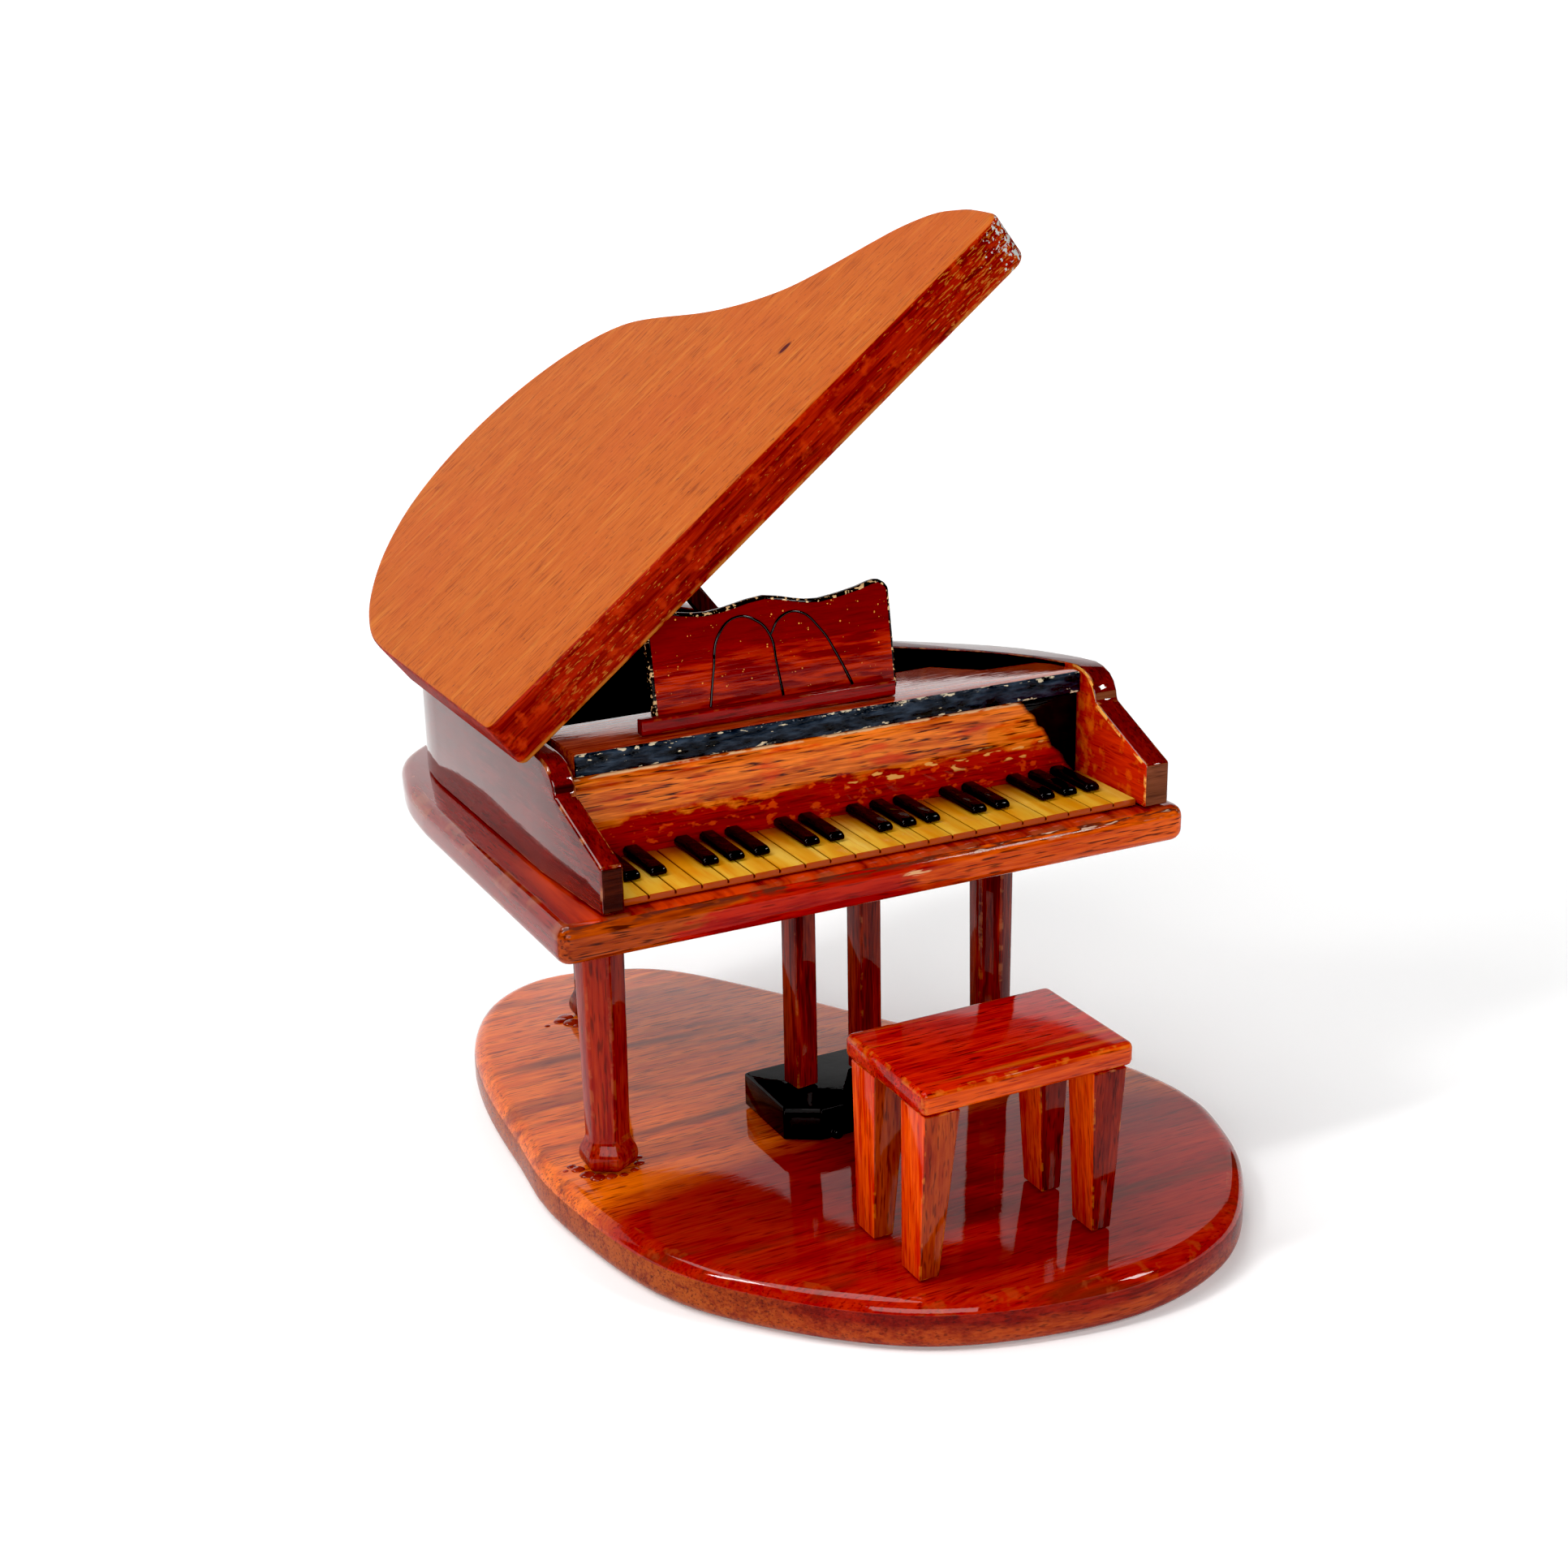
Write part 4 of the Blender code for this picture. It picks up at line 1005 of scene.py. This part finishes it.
def make_world():
    """Brighter behind the object than in front, and pale where the camera looks past the backdrop."""
    world = bpy.data.worlds.new("studio")
    bpy.context.scene.world = world
    world.use_nodes = True
    tree = world.node_tree
    aim = tree.nodes.new("ShaderNodeVectorMath")
    aim.operation = "DOT_PRODUCT"
    aim.inputs[1].default_value = WORLD_AIM
    tree.links.new(tree.nodes.new("ShaderNodeTexCoord").outputs["Generated"], aim.inputs[0])
    fade = tree.nodes.new("ShaderNodeMapRange")
    fade.inputs["From Min"].default_value = WORLD_FROM
    fade.inputs["From Max"].default_value = WORLD_TO
    fade.inputs["To Min"].default_value = WORLD_DIM
    fade.inputs["To Max"].default_value = WORLD_LIT
    tree.links.new(aim.outputs["Value"], fade.inputs["Value"])
    seen = tree.nodes.new("ShaderNodeLightPath")
    pale = tree.nodes.new("ShaderNodeMix")
    pale.inputs[3].default_value = WORLD_SEEN
    tree.links.new(seen.outputs["Is Camera Ray"], pale.inputs[0])
    tree.links.new(fade.outputs["Result"], pale.inputs[2])
    tree.nodes["Background"].inputs["Color"].default_value = (1.0, 1.0, 1.0, 1.0)
    tree.links.new(pale.outputs[0], tree.nodes["Background"].inputs["Strength"])


def make_lights():
    softbox("left_light", (-0.62, -0.02, 0.72), (-0.03, 0.0, 0.05), (0.07, 0.32), 3.0)
    softbox("right_light", (0.46, -0.53, 0.55), (0.0, 0.0, 0.05), (0.12, 0.18), 1.8)
    softbox("front_light", (-0.42, -0.80, 0.42), (0.0, 0.0, 0.07), (0.6, 0.4), 4.3)
    softbox("top_light", (-0.30, 0.10, 0.95), (0.0, 0.0, 0.08), (0.6, 0.6), 5.6)


def make_camera():
    data = bpy.data.cameras.new("camera")
    data.sensor_width = 36.0
    data.lens = CAMERA_LENS
    data.shift_x, data.shift_y = CAMERA_SHIFT
    data.clip_start = 0.01
    camera = bpy.data.objects.new("camera", data)
    bpy.context.scene.collection.objects.link(camera)
    camera.location = CAMERA_PLACE
    turn = Matrix.Rotation(math.radians(CAMERA_AZIMUTH), 4, "Z")
    turn = turn @ Matrix.Rotation(math.radians(90.0 - CAMERA_ELEVATION), 4, "X")
    turn = turn @ Matrix.Rotation(math.radians(CAMERA_ROLL), 4, "Z")
    camera.rotation_euler = turn.to_euler()
    bpy.context.scene.camera = camera


def set_view():
    """Plain colours, with the darkest tones taken down a little."""
    view = bpy.context.scene.view_settings
    view.view_transform = "Standard"
    view.use_curve_mapping = True
    view.curve_mapping.black_level = BLACK_LEVEL
    view.curve_mapping.update()


set_view()
make_camera()
make_stage()
make_world()
make_lights()
make_boards()
make_lid()
make_case()
make_desk()
make_keys()
make_stand()
make_drips()
make_bench()
make_fittings()
